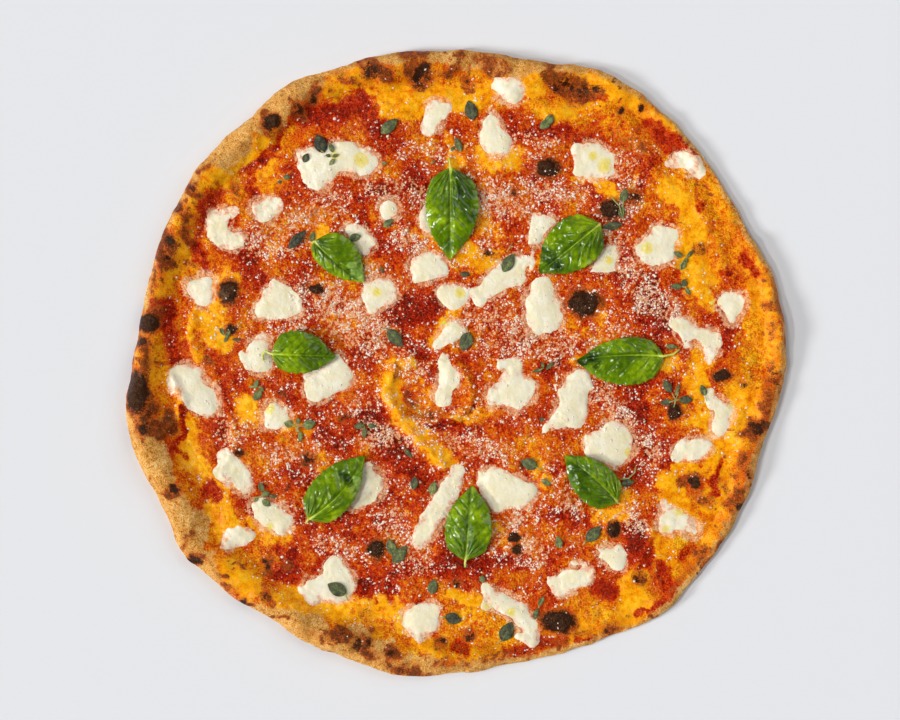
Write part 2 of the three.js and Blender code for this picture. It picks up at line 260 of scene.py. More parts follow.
def coverage(xy: Array, patches: Iterable[Smear], spread: float = 1.0) -> Array:
    """How strongly soft patches cover some points, where the strongest patch counts.

    Args:
        xy: points, one to a row.
        patches: the patches.
        spread: how many times as wide as its reach each patch is drawn.

    Returns:
        One number for each point.
    """
    most = np.zeros(len(xy))
    for patch in patches:
        gap = line_gap(xy, patch.ends) / (spread * patch.reach)
        most = np.maximum(most, patch.strength * (1.0 - smooth_step(0.3, 1.3, gap)))
    return most


@dataclass(frozen=True)
class RoundTable:
    """A value that changes on the way round, from stations of [degrees, value]."""

    stations: tuple[tuple[float, float], ...]

    def at(self, angle: Array) -> Array:
        """The value at some angles in radians."""
        degrees, values = zip(*self.stations)
        return np.interp(np.degrees(angle) % 360.0, degrees, values, period=360.0)


# ---- Meshes ------------------------------------------------------------------------------------------------


def read_solid(node: str) -> tuple[BVHTree, Array]:
    """Reads a CAD node in millimetres.

    Args:
        node: its name.

    Returns:
        A search tree for casting rays at it, and its corners.
    """
    copy = bmesh.new()
    copy.from_mesh(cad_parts[node].data)
    bmesh.ops.scale(copy, vec=(1 / MM,) * 3, verts=copy.verts)
    bmesh.ops.remove_doubles(copy, verts=copy.verts, dist=1e-3)
    tree = BVHTree.FromBMesh(copy)
    corners = np.array([vert.co for vert in copy.verts])
    copy.free()
    return tree, corners


def height_in(tree: BVHTree, x: float, y: float) -> float | None:
    """Height of the highest face of a tree over a point, or None beside it."""
    hit = tree.ray_cast(Vector((x, y, 100.0)), Vector((0.0, 0.0, -1.0)))[0]
    return None if hit is None else hit.z


def mesh_grid(across: int, along: int) -> Mesh:
    """A flat grid from 0 to 1 each way.

    Args:
        across: cells along X.
        along: cells along Y.

    Returns:
        A mesh whose vertices run along X first.
    """
    grid = bmesh.new()
    bmesh.ops.create_grid(grid, x_segments=across, y_segments=along, size=0.5)
    bmesh.ops.translate(grid, vec=(0.5, 0.5, 0.0), verts=grid.verts)
    mesh = bpy.data.meshes.new("grid")
    grid.to_mesh(mesh)
    grid.free()
    return mesh


def read_places(mesh: Mesh) -> Array:
    """A mesh's vertices, one to a row."""
    flat = np.empty(len(mesh.vertices) * 3, np.float32)
    mesh.vertices.foreach_get("co", flat)
    return flat.reshape(-1, 3).astype(float)


def write_places(mesh: Mesh, places: Array) -> None:
    """Moves a mesh's vertices to places, one to a row."""
    mesh.vertices.foreach_set("co", places.astype(np.float32).ravel())
    mesh.update()


def to_bmesh(mesh: Mesh) -> BMesh:
    """Turns a working mesh into a bmesh and removes it."""
    made = bmesh.new()
    made.from_mesh(mesh)
    bpy.data.meshes.remove(mesh)
    return made


def paint(mesh: Mesh, fields: dict[str, Array]) -> None:
    """Stores numbers on a mesh's vertices, for its material to read by name."""
    for name, values in fields.items():
        layer = mesh.attributes.new(name, "FLOAT", "POINT")
        layer.data.foreach_set("value", np.clip(values, 0.0, 1.0).astype(np.float32))


def lay_map(mesh: Mesh, places: Array) -> None:
    """Adds the flat map of a large piece, from the place of each vertex on it."""
    corners = np.empty(len(mesh.loops), int)
    mesh.loops.foreach_get("vertex_index", corners)
    layer = mesh.uv_layers.new(name=BAKE_MAP)
    layer.data.foreach_set("uv", places[corners].astype(np.float32).ravel())


def extrude_ring(
    shape: BMesh, edges: Sequence[bmesh.types.BMEdge]
) -> tuple[list[bmesh.types.BMVert], list[bmesh.types.BMEdge]]:
    """Extrudes a ring of edges in place.

    Args:
        shape: the shape that the ring is on.
        edges: the ring's edges.

    Returns:
        The new ring's vertices and edges.
    """
    made = bmesh.ops.extrude_edge_only(shape, edges=edges)["geom"]
    ring = [item for item in made if isinstance(item, bmesh.types.BMVert)]
    new = set(ring)
    along = [item for item in made if isinstance(item, bmesh.types.BMEdge)]
    return ring, [edge for edge in along if new.issuperset(edge.verts)]


def thicken(shape: BMesh, depth: float) -> None:
    """Closes a sheet with a copy of it further down."""
    for item in bmesh.ops.extrude_face_region(shape, geom=shape.faces[:])["geom"]:
        if isinstance(item, bmesh.types.BMVert):
            item.co.z -= depth


def new_piece(shape: BMesh, name: str, finish: "Finish", slot: Slot, nodes: Sequence[str] = ()) -> Piece:
    """Turns a shape in millimetres into a piece of the pizza.

    Args:
        shape: the shape, which is used up.
        name: the piece's name.
        finish: what its surface is made of.
        slot: the record's slot that it belongs to; not used.
        nodes: the CAD nodes that it stands for.

    Returns:
        The piece, at the origin and riding on the pizza's body.
    """
    bmesh.ops.scale(shape, vec=(MM,) * 3, verts=shape.verts)
    bmesh.ops.recalc_face_normals(shape, faces=shape.faces)
    mesh = bpy.data.meshes.new(name)
    shape.to_mesh(mesh)
    shape.free()
    mesh.shade_smooth()
    mesh.materials.append(finish.material())
    piece = bpy.data.objects.new(name, mesh)
    bpy.context.scene.collection.objects.link(piece)
    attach(piece, "root")
    if nodes:
        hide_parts(*nodes)
    LOG.info("%s: %d vertices, %d faces", name, len(mesh.vertices), len(mesh.polygons))
    return piece


# ---- Materials ---------------------------------------------------------------------------------------------


def linear(colour: str) -> tuple[float, float, float, float]:
    """Turns an sRGB hex colour into Blender's linear one."""
    parts = [int(colour[i : i + 2], 16) / 255.0 for i in (1, 3, 5)]
    straight = [c / 12.92 if c <= 0.04045 else ((c + 0.055) / 1.055) ** 2.4 for c in parts]
    return (*straight, 1.0)


def add_node(
    tree: NodeTree, kind: str, inputs: dict | None = None, out: int | str = 0, **settings: object
) -> Socket | None:
    """Adds a node with its settings and links.

    Args:
        tree: the material's node tree.
        kind: the node's type name.
        inputs: what each input gets, by its name or number: another node's output, or a plain value.
        out: the name or number of the output that is wanted.
        **settings: the node's own properties. "stops" gives a colour ramp its [place, hex colour] pairs,
            from 0 to 1.

    Returns:
        The wanted output, or None if the node has none.
    """
    node = tree.nodes.new(kind)
    stops = settings.pop("stops", ())
    for place, _ in stops[1:-1]:
        node.color_ramp.elements.new(place)
    for element, (_, colour) in zip(node.color_ramp.elements if stops else (), stops):
        element.color = linear(colour)
    for key, value in settings.items():
        setattr(node, key, value)
    for key, value in (inputs or {}).items():
        if isinstance(value, Socket):
            tree.links.new(value, node.inputs[key])
        else:
            node.inputs[key].default_value = value
    return node.outputs[out] if len(node.outputs) else None


class Pattern(Enum):
    """Patterns: a cloud from about -1 to 1, and cells that each have a random number or a middle."""

    CLOUD = ("ShaderNodeTexNoise", "Fac")
    PICK = ("ShaderNodeTexVoronoi", "Color")
    GAP = ("ShaderNodeTexVoronoi", "Distance")


@dataclass(frozen=True)
class Grain:
    """A pattern whose blobs or cells have a real size in millimetres."""

    name: str
    size: float
    pattern: Pattern = Pattern.CLOUD
    detail: float = 2.0


Terms = dict[str, float]  # weights of the painted fields and grains that are added up


@dataclass(frozen=True)
class Tone:
    """A colour ramp that a weighted sum runs through."""

    name: str
    terms: Terms
    stops: tuple[tuple[float, str], ...]


@dataclass(frozen=True)
class Coat:
    """A tone laid over those before it, where a weighted sum passes from low to high."""

    tone: str
    terms: Terms
    low: float
    high: float
    roughness: float
    strength: float = 1.0


class Sources:
    """The painted fields and grains that a material reads, each added to its tree once."""

    def __init__(self, tree: NodeTree, grains: Iterable[Grain]) -> None:
        """Keeps the tree and the grains by name."""
        self.tree = tree
        self.grains = {grain.name: grain for grain in grains}
        self.place = add_node(tree, "ShaderNodeTexCoord", out="Object")
        self.known: dict[str, Socket] = {}

    def read(self, name: str) -> Socket:
        """The output that carries a field or grain."""
        if name not in self.known:
            grain = self.grains.get(name)
            self.known[name] = self._grain(grain) if grain else add_node(
                self.tree, "ShaderNodeAttribute", out="Fac", attribute_name=name
            )
        return self.known[name]

    def _grain(self, grain: Grain) -> Socket:
        """Adds a grain's nodes."""
        kind, out = grain.pattern.value
        inputs = {"Vector": self.place, "Scale": 1.0 / (grain.size * MM)}  # one repeat in the grain's size
        if grain.pattern is not Pattern.CLOUD:
            return add_node(self.tree, kind, inputs, out)
        cloud = add_node(self.tree, kind, {**inputs, "Detail": grain.detail}, out)
        return add_node(self.tree, "ShaderNodeMath", {0: cloud, 1: 4.0, 2: -2.0}, operation="MULTIPLY_ADD")

    def total(self, terms: Terms) -> Socket | float:
        """Adds up fields and grains by their weights."""
        value: Socket | float = 0.0
        for name, weight in terms.items():
            inputs = {0: self.read(name), 1: weight, 2: value}
            value = add_node(self.tree, "ShaderNodeMath", inputs, operation="MULTIPLY_ADD")
        return value


@dataclass(frozen=True)
class Finish:
    """What a surface is made of: tones laid over one another like coats, and a fine relief.

    The first coat is the ground, which covers everything.
    """

    name: str
    grains: tuple[Grain, ...]
    tones: tuple[Tone, ...]
    coats: tuple[Coat, ...]
    relief: Terms = field(default_factory=dict)
    relief_height: float = 0.1
    calm: Terms = field(default_factory=dict)   # where this passes from 0.3 to 1, the relief fades
    shader: dict[str, object] = field(default_factory=dict)   # the shader's plain inputs

    def material(self) -> bpy.types.Material:
        """The finish's material, made at its first use."""
        made = bpy.data.materials.get(self.name)
        if made is None:
            made = bpy.data.materials.new(self.name)
            made.use_nodes = True
            made.node_tree.nodes.clear()
            add_node(made.node_tree, "ShaderNodeOutputMaterial", {"Surface": self._shade(made.node_tree)})
        return made

    def _shade(self, tree: NodeTree) -> Socket:
        """Adds the finish's nodes.

        Args:
            tree: the material's node tree.

        Returns:
            The shader.
        """
        sources = Sources(tree, self.grains)
        tones = {tone.name: self._colour(tone, sources) for tone in self.tones}
        colour, rough = tones[self.coats[0].tone], self.coats[0].roughness
        for coat in self.coats[1:]:
            reach = {"From Min": coat.low, "From Max": coat.high, "To Max": coat.strength}
            reach["Value"] = sources.total(coat.terms)
            mask = add_node(tree, "ShaderNodeMapRange", reach, interpolation_type="SMOOTHSTEP")
            mixed = {0: mask, 6: colour, 7: tones[coat.tone]}
            colour = add_node(tree, "ShaderNodeMix", mixed, out=2, data_type="RGBA")
            rough = add_node(tree, "ShaderNodeMix", {0: mask, 2: rough, 3: coat.roughness}, data_type="FLOAT")
        inputs = {"Base Color": colour, "Roughness": rough, **self.shader}
        if self.relief:
            reach = {"Value": sources.total(self.calm), "From Min": 0.3, "To Min": 1.0, "To Max": 0.25}
            strength = add_node(tree, "ShaderNodeMapRange", reach) if self.calm else 1.0
            height = {"Height": sources.total(self.relief), "Distance": self.relief_height * MM}
            inputs["Normal"] = add_node(tree, "ShaderNodeBump", {**height, "Strength": strength})
        return add_node(tree, "ShaderNodeBsdfPrincipled", inputs)

    def _colour(self, tone: Tone, sources: Sources) -> Socket:
        """Adds a tone's colour ramp, whose stops lie between the first and the last."""
        first, last = tone.stops[0][0], tone.stops[-1][0]
        reach = {"Value": sources.total(tone.terms), "From Min": first, "From Max": last}
        share = add_node(sources.tree, "ShaderNodeMapRange", reach)
        stops = [((place - first) / (last - first), colour) for place, colour in tone.stops]
        return add_node(sources.tree, "ShaderNodeValToRGB", {"Fac": share}, stops=stops)


# Baked wheat dough under a film of tomato sauce and oil: matt, floury crumb that browns and chars on its
# bubbles, and wet, grainy red that turns orange and yellow where the cheese's fat has run.
TOP_GRAINS = (
    Grain("grit", 0.75), Grain("pulp", 2.4, detail=3.0), Grain("blot", 8.0, detail=3.0), Grain("dust", 0.45),
    Grain("pick", 1.15, Pattern.PICK), Grain("gap", 1.15, Pattern.GAP),
)
TOP_TONES = (
    # The sauce tone shares its pulp and grit grains with the relief, so the relief's hollows come out darker
    # red: painted shade in the hollows, over the pulp's own uneven tone.
    Tone("sauce", {"warmth": 1.0, "blot": 0.12, "pulp": 0.2, "grit": 0.29}, (
        (0.0, "#560400"), (0.16, "#8c0b01"), (0.32, "#b41d02"), (0.45, "#cc3a04"), (0.58, "#da5c08"),
        (0.72, "#e68106"), (0.86, "#f2a109"), (1.0, "#fbbd22"),
    )),
    Tone("amber", {"fat": 0.35, "blot": 0.22, "pulp": 0.28, "grit": 0.18}, (
        (-0.15, "#cc5606"), (0.08, "#e68006"), (0.3, "#f5a20a"), (0.55, "#febb1c"), (0.85, "#ffd048"),
    )),
    Tone("melt", {"pulp": 0.25, "grit": 0.35}, ((-0.5, "#d4601c"), (0.0, "#eda873"), (0.4, "#fcebd6"))),
    Tone("crumb", {"blot": 0.25, "pulp": 0.3, "grit": 0.4, "dust": 0.55}, (
        (-0.8, "#7a4212"), (-0.35, "#c47d32"), (0.1, "#eaaa52"), (0.45, "#f6cb80"), (0.9, "#fdeac6"),
    )),
    Tone("brown", {"toast": 0.75, "pulp": 0.3, "grit": 0.35, "dust": 0.15}, (
        (0.05, "#e87c1c"), (0.35, "#c25618"), (0.6, "#8a3712"), (0.95, "#43180b"),
    )),
    Tone("black", {"char": 1.0, "pulp": 0.25, "grit": 0.35}, (
        (0.15, "#a24a12"), (0.4, "#6a2a0c"), (0.6, "#3e190b"), (0.85, "#220e08"), (1.25, "#4c2c1a"),
    )),
)
TOP_COATS = (
    Coat("sauce", {}, 0, 0, 0.09),
    Coat("amber", {"fat": 1.6, "blot": 0.15, "pulp": 0.35, "grit": 0.15}, 0.48, 1.15, 0.12, 0.95),
    Coat("melt", {"milk": 1.6, "grit": 0.35, "pulp": 0.5}, 0.65, 1.5, 0.3, 0.7),
    Coat("melt", {"grated": 0.75, "pick": -0.9, "gap": -0.5}, -0.12, 0.0, 0.35, 0.85),
    Coat("crumb", {"bare": 1.6, "pulp": 0.3, "grit": 0.25, "blot": 0.1}, 0.5, 1.25, 0.85),
    Coat(
        "brown", {"toast": 1.6, "blot": 0.2, "pulp": 0.25, "grit": 0.25, "dust": 0.1}, 0.52, 1.15, 0.55, 0.95,
    ),
    Coat("black", {"char": 2.0, "pulp": 0.3, "grit": 0.35}, 0.45, 1.3, 0.35),
)
WET = {"Specular IOR Level": 0.24, "Specular Tint": linear("#ffd9a4")}   # a thin film of warm oil
CRUST_TOP = Finish(
    "Stone-baked wheat crust", TOP_GRAINS, TOP_TONES, TOP_COATS,
    relief={"grit": 0.6, "pulp": 1.0, "dust": 0.4}, relief_height=0.26,
    calm={"fat": 1.0, "bare": -0.6}, shader=WET,
)
TOMATO_FILM = Finish(
    "Baked tomato sauce", TOP_GRAINS, TOP_TONES, TOP_COATS,
    relief={"grit": 0.45, "pulp": 1.0}, relief_height=0.5,
    calm={"fat": 0.9, "warmth": 0.4}, shader=WET,
)
# Fresh mozzarella that melted and set again: creamy, slightly translucent, with a soft sheen, stained by the
# sauce where it is thin.
MELTED = Finish(
    "Melted mozzarella",
    (Grain("grit", 0.8), Grain("pulp", 2.2, detail=3.0), Grain("blot", 7.0)),
    (
        Tone("cream", {"blot": 0.4, "pulp": 0.2, "grit": 0.1}, (
            (-0.6, "#e6d9a6"), (0.0, "#eee5c6"), (0.6, "#f4efdc"),
        )),
        Tone("stained", {"thin": 0.75, "pulp": 0.35, "grit": 0.25}, (
            (0.1, "#f6ecdb"), (0.5, "#f4dfc8"), (0.8, "#ecbd9c"), (1.2, "#da8a58"),
        )),
        Tone("oily", {"pulp": 0.3, "grit": 0.2}, ((-0.3, "#e6ca32"), (0.4, "#f1e27c"))),
    ),
    (
        Coat("cream", {}, 0, 0, 0.3),
        Coat("oily", {"oil": 1.0, "pulp": 0.3}, 0.3, 0.9, 0.22, 0.8),
        Coat("stained", {"thin": 1.0, "pulp": 0.35, "grit": 0.25}, 0.35, 1.1, 0.3),
    ),
    relief={"grit": 0.3, "pulp": 1.0}, relief_height=0.08,
    shader={
        "Subsurface Weight": 0.15, "Subsurface Radius": (1.0, 0.75, 0.5), "Subsurface Scale": 1.5 * MM,
        "Specular IOR Level": 0.4,
    },
)
# Flakes of hard cheese, ivory where they stayed dry and rosy where they soaked up sauce.
GRATED = Finish(
    "Grated hard cheese",
    (Grain("grit", 1.4), Grain("blot", 5.0)),
    (Tone("flake", {"soak": 1.0, "grit": 0.25}, ((0.0, "#fff7ea"), (0.5, "#f8e0c8"), (1.0, "#e8a074"))),),
    (Coat("flake", {}, 0, 0, 0.45),),
)
# Fresh basil: a waxy, bright green blade, lighter along its veins and on its underside, and darker where
# painted shade lies in its creases, dents and shaded parts.
BASIL_LEAF = Finish(
    "Fresh basil leaf",
    (Grain("grit", 0.6), Grain("pulp", 2.6), Grain("blot", 11.0)),
    (
        Tone("blade", {"blot": 0.3, "pulp": 0.15, "dark_and_painted_shade": -0.75, "grit": 0.05}, (
            (-0.9, "#0f2600"), (-0.4, "#335200"), (0.0, "#608000"), (0.35, "#a0bc06"),
        )),
        Tone("rib", {"vein": 1.0, "pulp": 0.1}, ((0.2, "#7ba30c"), (0.6, "#a6bf26"), (1.0, "#d3da66"))),
        Tone("underside", {"pulp": 0.5}, ((-0.3, "#6c9234"), (0.4, "#9cb858"))),
    ),
    (
        Coat("blade", {}, 0, 0, 0.18),
        Coat("rib", {"vein": 1.0, "grit": 0.1}, 0.2, 0.8, 0.3),
        Coat("underside", {"pale": 1.0, "pulp": 0.2}, 0.4, 0.75, 0.5),
    ),
    relief={"grit": 0.3, "pulp": 1.0}, relief_height=0.22,
    shader={
        "Coat Weight": 0.75, "Coat Roughness": 0.09, "Specular IOR Level": 0.1,
        "Specular Tint": linear("#e6f7a8"),
    },
)
# Small oregano leaves, dried to grey-green and brown-black by the oven.
HERB_LEAF = Finish(
    "Baked oregano leaf",
    (Grain("grit", 0.7), Grain("pulp", 2.0)),
    (
        # In the oregano this field is only how dark each leaflet baked, its own colour.
        Tone("sage", {"pulp": 0.3, "grit": 0.2, "dark_and_painted_shade": -0.6, "vein": 0.4}, (
            (-0.8, "#2a2724"), (-0.5, "#46463a"), (-0.15, "#626a44"), (0.2, "#8a9558"), (0.6, "#bdb878"),
        )),
    ),
    (Coat("sage", {}, 0, 0, 0.42),),
    relief={"grit": 1.0}, relief_height=0.12, shader={"Specular IOR Level": 0.1},
)
# Warm olive oil and melted fat: clear yellow and very glossy.
OIL_FILM = Finish(
    "Olive oil drop",
    (Grain("pulp", 2.0),),
    (Tone("yellow", {"pulp": 0.5}, ((-0.4, "#e4ca2c"), (0.4, "#ecdc62"))),),
    (Coat("yellow", {}, 0, 0, 0.08),),
)
# A matt, cool white table top.
TABLE_TOP = Finish(
    "Matt white floor",
    (Grain("grit", 1.0),),
    (Tone("white", {"grit": 0.1}, ((-1, "#e1e2e5"), (1, "#e1e2e5"))),),
    (Coat("white", {}, 0, 0, 0.7),),
)


# ---- The dough's form --------------------------------------------------------------------------------------


class DoughForm:
    """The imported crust's outline and upper side, read from its solid, with the facets smoothed away."""

    NODE = "crust"
    TURNS = 360          # readings round the crust
    STEPS = 165          # readings from the middle to the edge
    FACET_BLUR = 2.6     # how far the facets round the rim are smoothed
    BED_BLUR = 6.0       # the same, over the bed
    BED_REACH = 70.0     # how far out the bed's smoothing goes
    BED_FADE = 20.0      # and over what width it fades
    RIM_BLUR = 0.8       # smoothing across the rim, less than its width, so that its crest stays
    RIM_STEPS = 30       # readings that the rim takes up
    RAGGED = 0.8         # unevenness of the edge
    EDGE_RADIUS = 160.0  # about where the edge is
    EDGE_HEIGHTS = np.arange(1.5, 7.0, 0.5)  # where the edge is felt for from the side

    def __init__(self) -> None:
        """Reads the solid by rays from the side and from above."""
        tree, _ = read_solid(self.NODE)
        self.angles = np.arange(self.TURNS) * math.tau / self.TURNS
        blur = np.array([self.FACET_BLUR / self.EDGE_RADIUS])
        self.edge = self._blur_round(self._read_edge(tree)[:, None], blur)[:, 0]
        self.top = self._read_top(tree)
        self.noise = SoftNoise(3, 13.0, 4)
        LOG.info("dough read from its solid, %.1f mm across", 2 * self.edge.mean())

    def _read_edge(self, tree: BVHTree) -> Array:
        """The widest radius at each angle."""
        far = 300.0
        found = []
        for angle in self.angles:
            way = Vector((math.cos(angle), math.sin(angle), 0.0))
            hits = [tree.ray_cast(way * far + Vector((0, 0, z)), -way)[3] for z in self.EDGE_HEIGHTS]
            found.append(far - min(gap for gap in hits if gap is not None))
        return np.array(found)

    def _read_top(self, tree: BVHTree) -> Array:
        """Heights at each angle and share of the way out, smoothed both ways."""
        shares = np.linspace(0.0, 0.9985, self.STEPS)
        table = np.empty((self.TURNS, self.STEPS))
        for i, (angle, edge) in enumerate(zip(self.angles, self.edge)):
            last = 0.0
            for j, share in enumerate(shares):
                x, y = edge * share * math.cos(angle), edge * share * math.sin(angle)
                height = height_in(tree, x, y)
                last = last if height is None else height
                table[i, j] = last
        out = shares * self.edge.mean()
        bed = 1.0 - smooth_step(self.BED_REACH, self.BED_REACH + self.BED_FADE, out)
        reach = self.FACET_BLUR + bed * (self.BED_BLUR - self.FACET_BLUR)
        table = self._blur_round(table, reach / np.maximum(out, 1.0))
        step = self.edge.mean() / self.STEPS
        fine, wide = (self._blur_out(table, reach / step) for reach in (self.RIM_BLUR, self.BED_BLUR))
        return fine * (1.0 - bed) + wide * bed

    def _blur_round(self, table: Array, reach: Array) -> Array:
        """Smooths each column of a table round the circle by its own angle."""
        waves = np.fft.rfft(table, axis=0)
        order = np.arange(len(waves))[:, None]
        return np.fft.irfft(waves * np.exp(-0.5 * (order * reach[None, :]) ** 2), n=len(table), axis=0)

    def _blur_out(self, table: Array, reach: float) -> Array:
        """Smooths each row of a table by a number of steps."""
        span = math.ceil(3 * reach)
        weight = np.exp(-0.5 * (np.arange(-span, span + 1) / reach) ** 2)
        padded = np.pad(table, ((0, 0), (span, span)), "edge")
        return np.stack([np.convolve(row, weight / weight.sum(), "valid") for row in padded])

    def outline(self, angle: Array) -> Array:
        """The crust's radius at some angles, with the fine unevenness of its edge."""
        plain = np.interp(angle % math.tau, self.angles, self.edge, period=math.tau)
        return plain + self.RAGGED * self.noise.at(around(angle, plain))

    def crest(self, angle: Array) -> Array:
        """Height of the rim's crest at some angles."""
        crests = self.top[:, -self.RIM_STEPS :].max(axis=1)
        return np.interp(angle % math.tau, self.angles, crests, period=math.tau)

    def inset(self, xy: Array) -> Array:
        """How far points lie in from the crust's edge."""
        return self.outline(np.arctan2(xy[:, 1], xy[:, 0])) - np.hypot(*xy.T)

    def height(self, xy: Array) -> Array:
        """Height of the smoothed solid's upper side over some points."""
        angle = np.arctan2(xy[:, 1], xy[:, 0])
        share = np.clip(np.hypot(*xy.T) / self.outline(angle), 0.0, 1.0) * (self.STEPS - 1.001)
        turn = (angle % math.tau) / math.tau * self.TURNS
        i, j = np.floor(turn).astype(int), np.floor(share).astype(int)
        u, v = turn - i, share - j
        i, k = i % self.TURNS, (i + 1) % self.TURNS
        near = self.top[i, j] * (1 - u) + self.top[k, j] * u
        far = self.top[i, j + 1] * (1 - u) + self.top[k, j + 1] * u
        return near * (1 - v) + far * v


# ---- What baking did to the top ----------------------------------------------------------------------------


@dataclass(frozen=True)
class Fold:
    """A fold or ridge of the dough, along a bent line."""

    points: Sequence[tuple[float, float]]
    reach: float       # half its width
    rise: float        # or its depth, with a minus
    warmth: float      # how warm its crest's colour is; on a groove a low value paints it dark red, which is painted shade

    def crest(self, xy: Array) -> Array:
        """How near points are to the middle of its width, from 0 to 1."""
        return bump(line_gap(xy, self.points), self.reach)


@dataclass(frozen=True)
class Blister:
    """A black blister: its middle, half its length along X, half its width along Y, and its rise."""

    x: float
    y: float
    long: float
    wide: float
    rise: float

    def apart(self, xy: Array) -> Array:
        """How far points are from its middle, squared, where its border is 1."""
        return ((xy[:, 0] - self.x) / self.long) ** 2 + ((xy[:, 1] - self.y) / self.wide) ** 2


# Folds and ridges of the dough: points along each, its reach, its rise and how warm its crest's colour is
FOLDS = tuple(Fold(*row) for row in (
    (arc((-15.5, -13.0), (20.5, 15.5), -6, 120, 235), 3.2, 2.4, 0.9),
    # A groove below the middle bubble, painted dark red by its low warmth: painted shade.
    (arc((-15.5, -13.0), (25.5, 19.5), -6, 235, 345), 1.4, -1.0, 0.08),
    (arc((-15.5, -13.0), (22.5, 16.0), -6, 235, 330), 2.0, 1.9, 0.68),
    (arc((-15.5, -13.0), (22.5, 16.0), -6, 330, 420), 2.2, 1.3, 0.62),
    (arc((-16.0, -14.5), (23.0, 17.0), -6, 60, 120), 1.4, 0.7, 0.5),
    (((-27, -29), (-21.7, -34.8), (-14, -43), (-7, -52)), 2.8, 1.5, 0.88),
    (((-131, 28), (-132, 14), (-129, 2)), 2.2, 1.0, 0.8),
    (((60, 128), (78, 120), (92, 108), (104, 92)), 3.0, 0.9, 0.7),
    (((122, 78), (130, 62), (133, 48)), 3.0, 0.8, 0.75),
    (((-128, 96), (-112, 84), (-104, 70)), 3.5, 0.8, 0.7),
    (((-35, 128), (-10, 133), (20, 130), (50, 128)), 4.0, 1.0, 0.75),
    (((-146, -34), (-138, -27), (-136, -17), (-142, -8)), 2.4, 2.2, 0.85),
    (((-120, -10), (-112, -30), (-113, -45)), 2.6, 0.8, 0.7),
    (((84, -110), (92, -98), (97, -82)), 2.6, 0.8, 0.7),
))
# Black blisters
BLISTERS = tuple(Blister(*row) for row in (
    (63.5, 30.5, 8.8, 7, 1.7), (51, -129, 9.4, 5.8, 1.6), (45, 98, 6.2, 5.2, 1.3),
    (76.5, 77.5, 5.6, 5.2, 1.2), (-114, 36.5, 5.2, 6.8, 1.3), (-40.5, -92.5, 5.2, 5.2, 1.3),
    (108.5, -24, 3.8, 4.2, 1), (78, -83, 3.8, 4.4, 1), (119, -59, 3.4, 3.6, 0.9), (132, -6, 5, 3, 0.9),
    (-70, 37.5, 4.4, 3.2, 0.9), (-113, 17.5, 3.2, 3.4, 0.8), (-159, -14, 6, 11.5, 0.6),
    (-154, 20.5, 6, 5.2, 0.8), (28.5, -87, 3.4, 2.6, 0.7), (29.5, -93, 3.4, 3, 0.7),
    (-92, 120.5, 4.5, 4, 0.8),
))
# Scorched spots: middle, reach and strength
SCORCHES = spots(
    (-71.5, 75.5, 2.4, 0.6), (29, 86, 2.6, 0.6), (-8.5, 100.5, 2.4, 0.5), (-4, 117, 2, 0.5),
    (4.5, 142.5, 2.2, 0.8), (-18, 143.5, 4.4), (-16, 148, 3, 0.9), (-43, 146, 5, 0.7), (-38, 144, 3.5, 0.7),
    (55, 139, 4, 0.8), (60, 133.5, 4, 0.8), (64, 137, 3, 0.7), (50, 138, 3, 0.7), (69.5, 137, 2.5, 0.7),
    (82, 126.5, 1.8, 0.8), (91.5, 128, 1.5, 0.9), (87, 110.5, 3.2, 0.5), (89.5, 83.5, 3, 0.9),
    (122, 57, 3, 0.8), (126.5, 67, 2, 0.6), (142.5, -10, 3, 0.6), (149, -31.5, 3.6, 0.9),
    (153, -30.5, 2.6, 0.8), (159, -7, 3.4, 0.7), (-109.5, -44.5, 3, 0.8), (-87.5, -14.5, 2.4, 0.8),
    (-74.5, -47.5, 3.4, 0.8), (-56, -26.5, 3.4, 0.6), (-85.5, -62, 2.4, 0.6), (-95, -99, 2.4, 0.9),
    (-94, -103, 2.2, 0.7), (-85, -101, 2.6, 0.7), (-124.5, 1.5, 1.8, 0.8), (-111, 88, 2.4, 0.8),
    (-109, 83, 2.6, 0.5), (32.5, -51, 2.4, 0.6), (6, -135.5, 2.8, 0.85), (-8.5, -139.5, 2.4, 0.85),
    (0, -110.5, 2.4, 0.8), (91, -107.5, 3, 0.9), (76, -133.5, 3, 0.85), (-13.5, -25.5, 2.8, 0.7),
    (14.5, 55.5, 3, 0.6), (-26, -17.5, 3, 0.35), (-157, 10, 3, 0.9), (-144, 61, 3.6, 0.9),
    (-145, 55, 3.4, 0.8), (-139, 78, 3.4, 0.7), (-132, 88, 2.8, 0.8), (-93, 119.5, 4, 0.9),
    (-79, 126.5, 3.2, 0.8), (-72, 132, 2.6, 0.8), (-155, -32, 3.2, 0.9), (-140.5, -62, 2.8, 0.9),
    (-134.5, -87, 2.2, 0.7), (-131, -97, 2.8), (-128, -98, 2.2, 0.7), (-107, -119, 1.8, 0.9),
    (-94.5, -116, 3, 0.6), (-61, -137.5, 2.6, 0.7), (-57, -134, 2.4, 0.7), (-49, -138.5, 3, 0.8),
    (-44, -138.5, 2.6, 0.7), (-51, -142, 2.6, 0.6), (-47, -125, 2, 0.6), (-32.5, -144, 3, 0.8),
    (-34, -150, 2.4, 0.7), (-27, -152.5, 3, 0.7), (25, 155, 1.8, 0.7), (0.5, 150, 2.6, 0.4),
    (141, -71, 2, 0.8), (146, -56, 1.8, 0.8), (-153, -24, 2.4, 0.7), (133.5, -46.5, 0.9, 0.9),
    (125, -68, 2.4, 0.5), (-149.5, 47, 2.4, 0.6), (-119, -105, 2, 0.5),
)
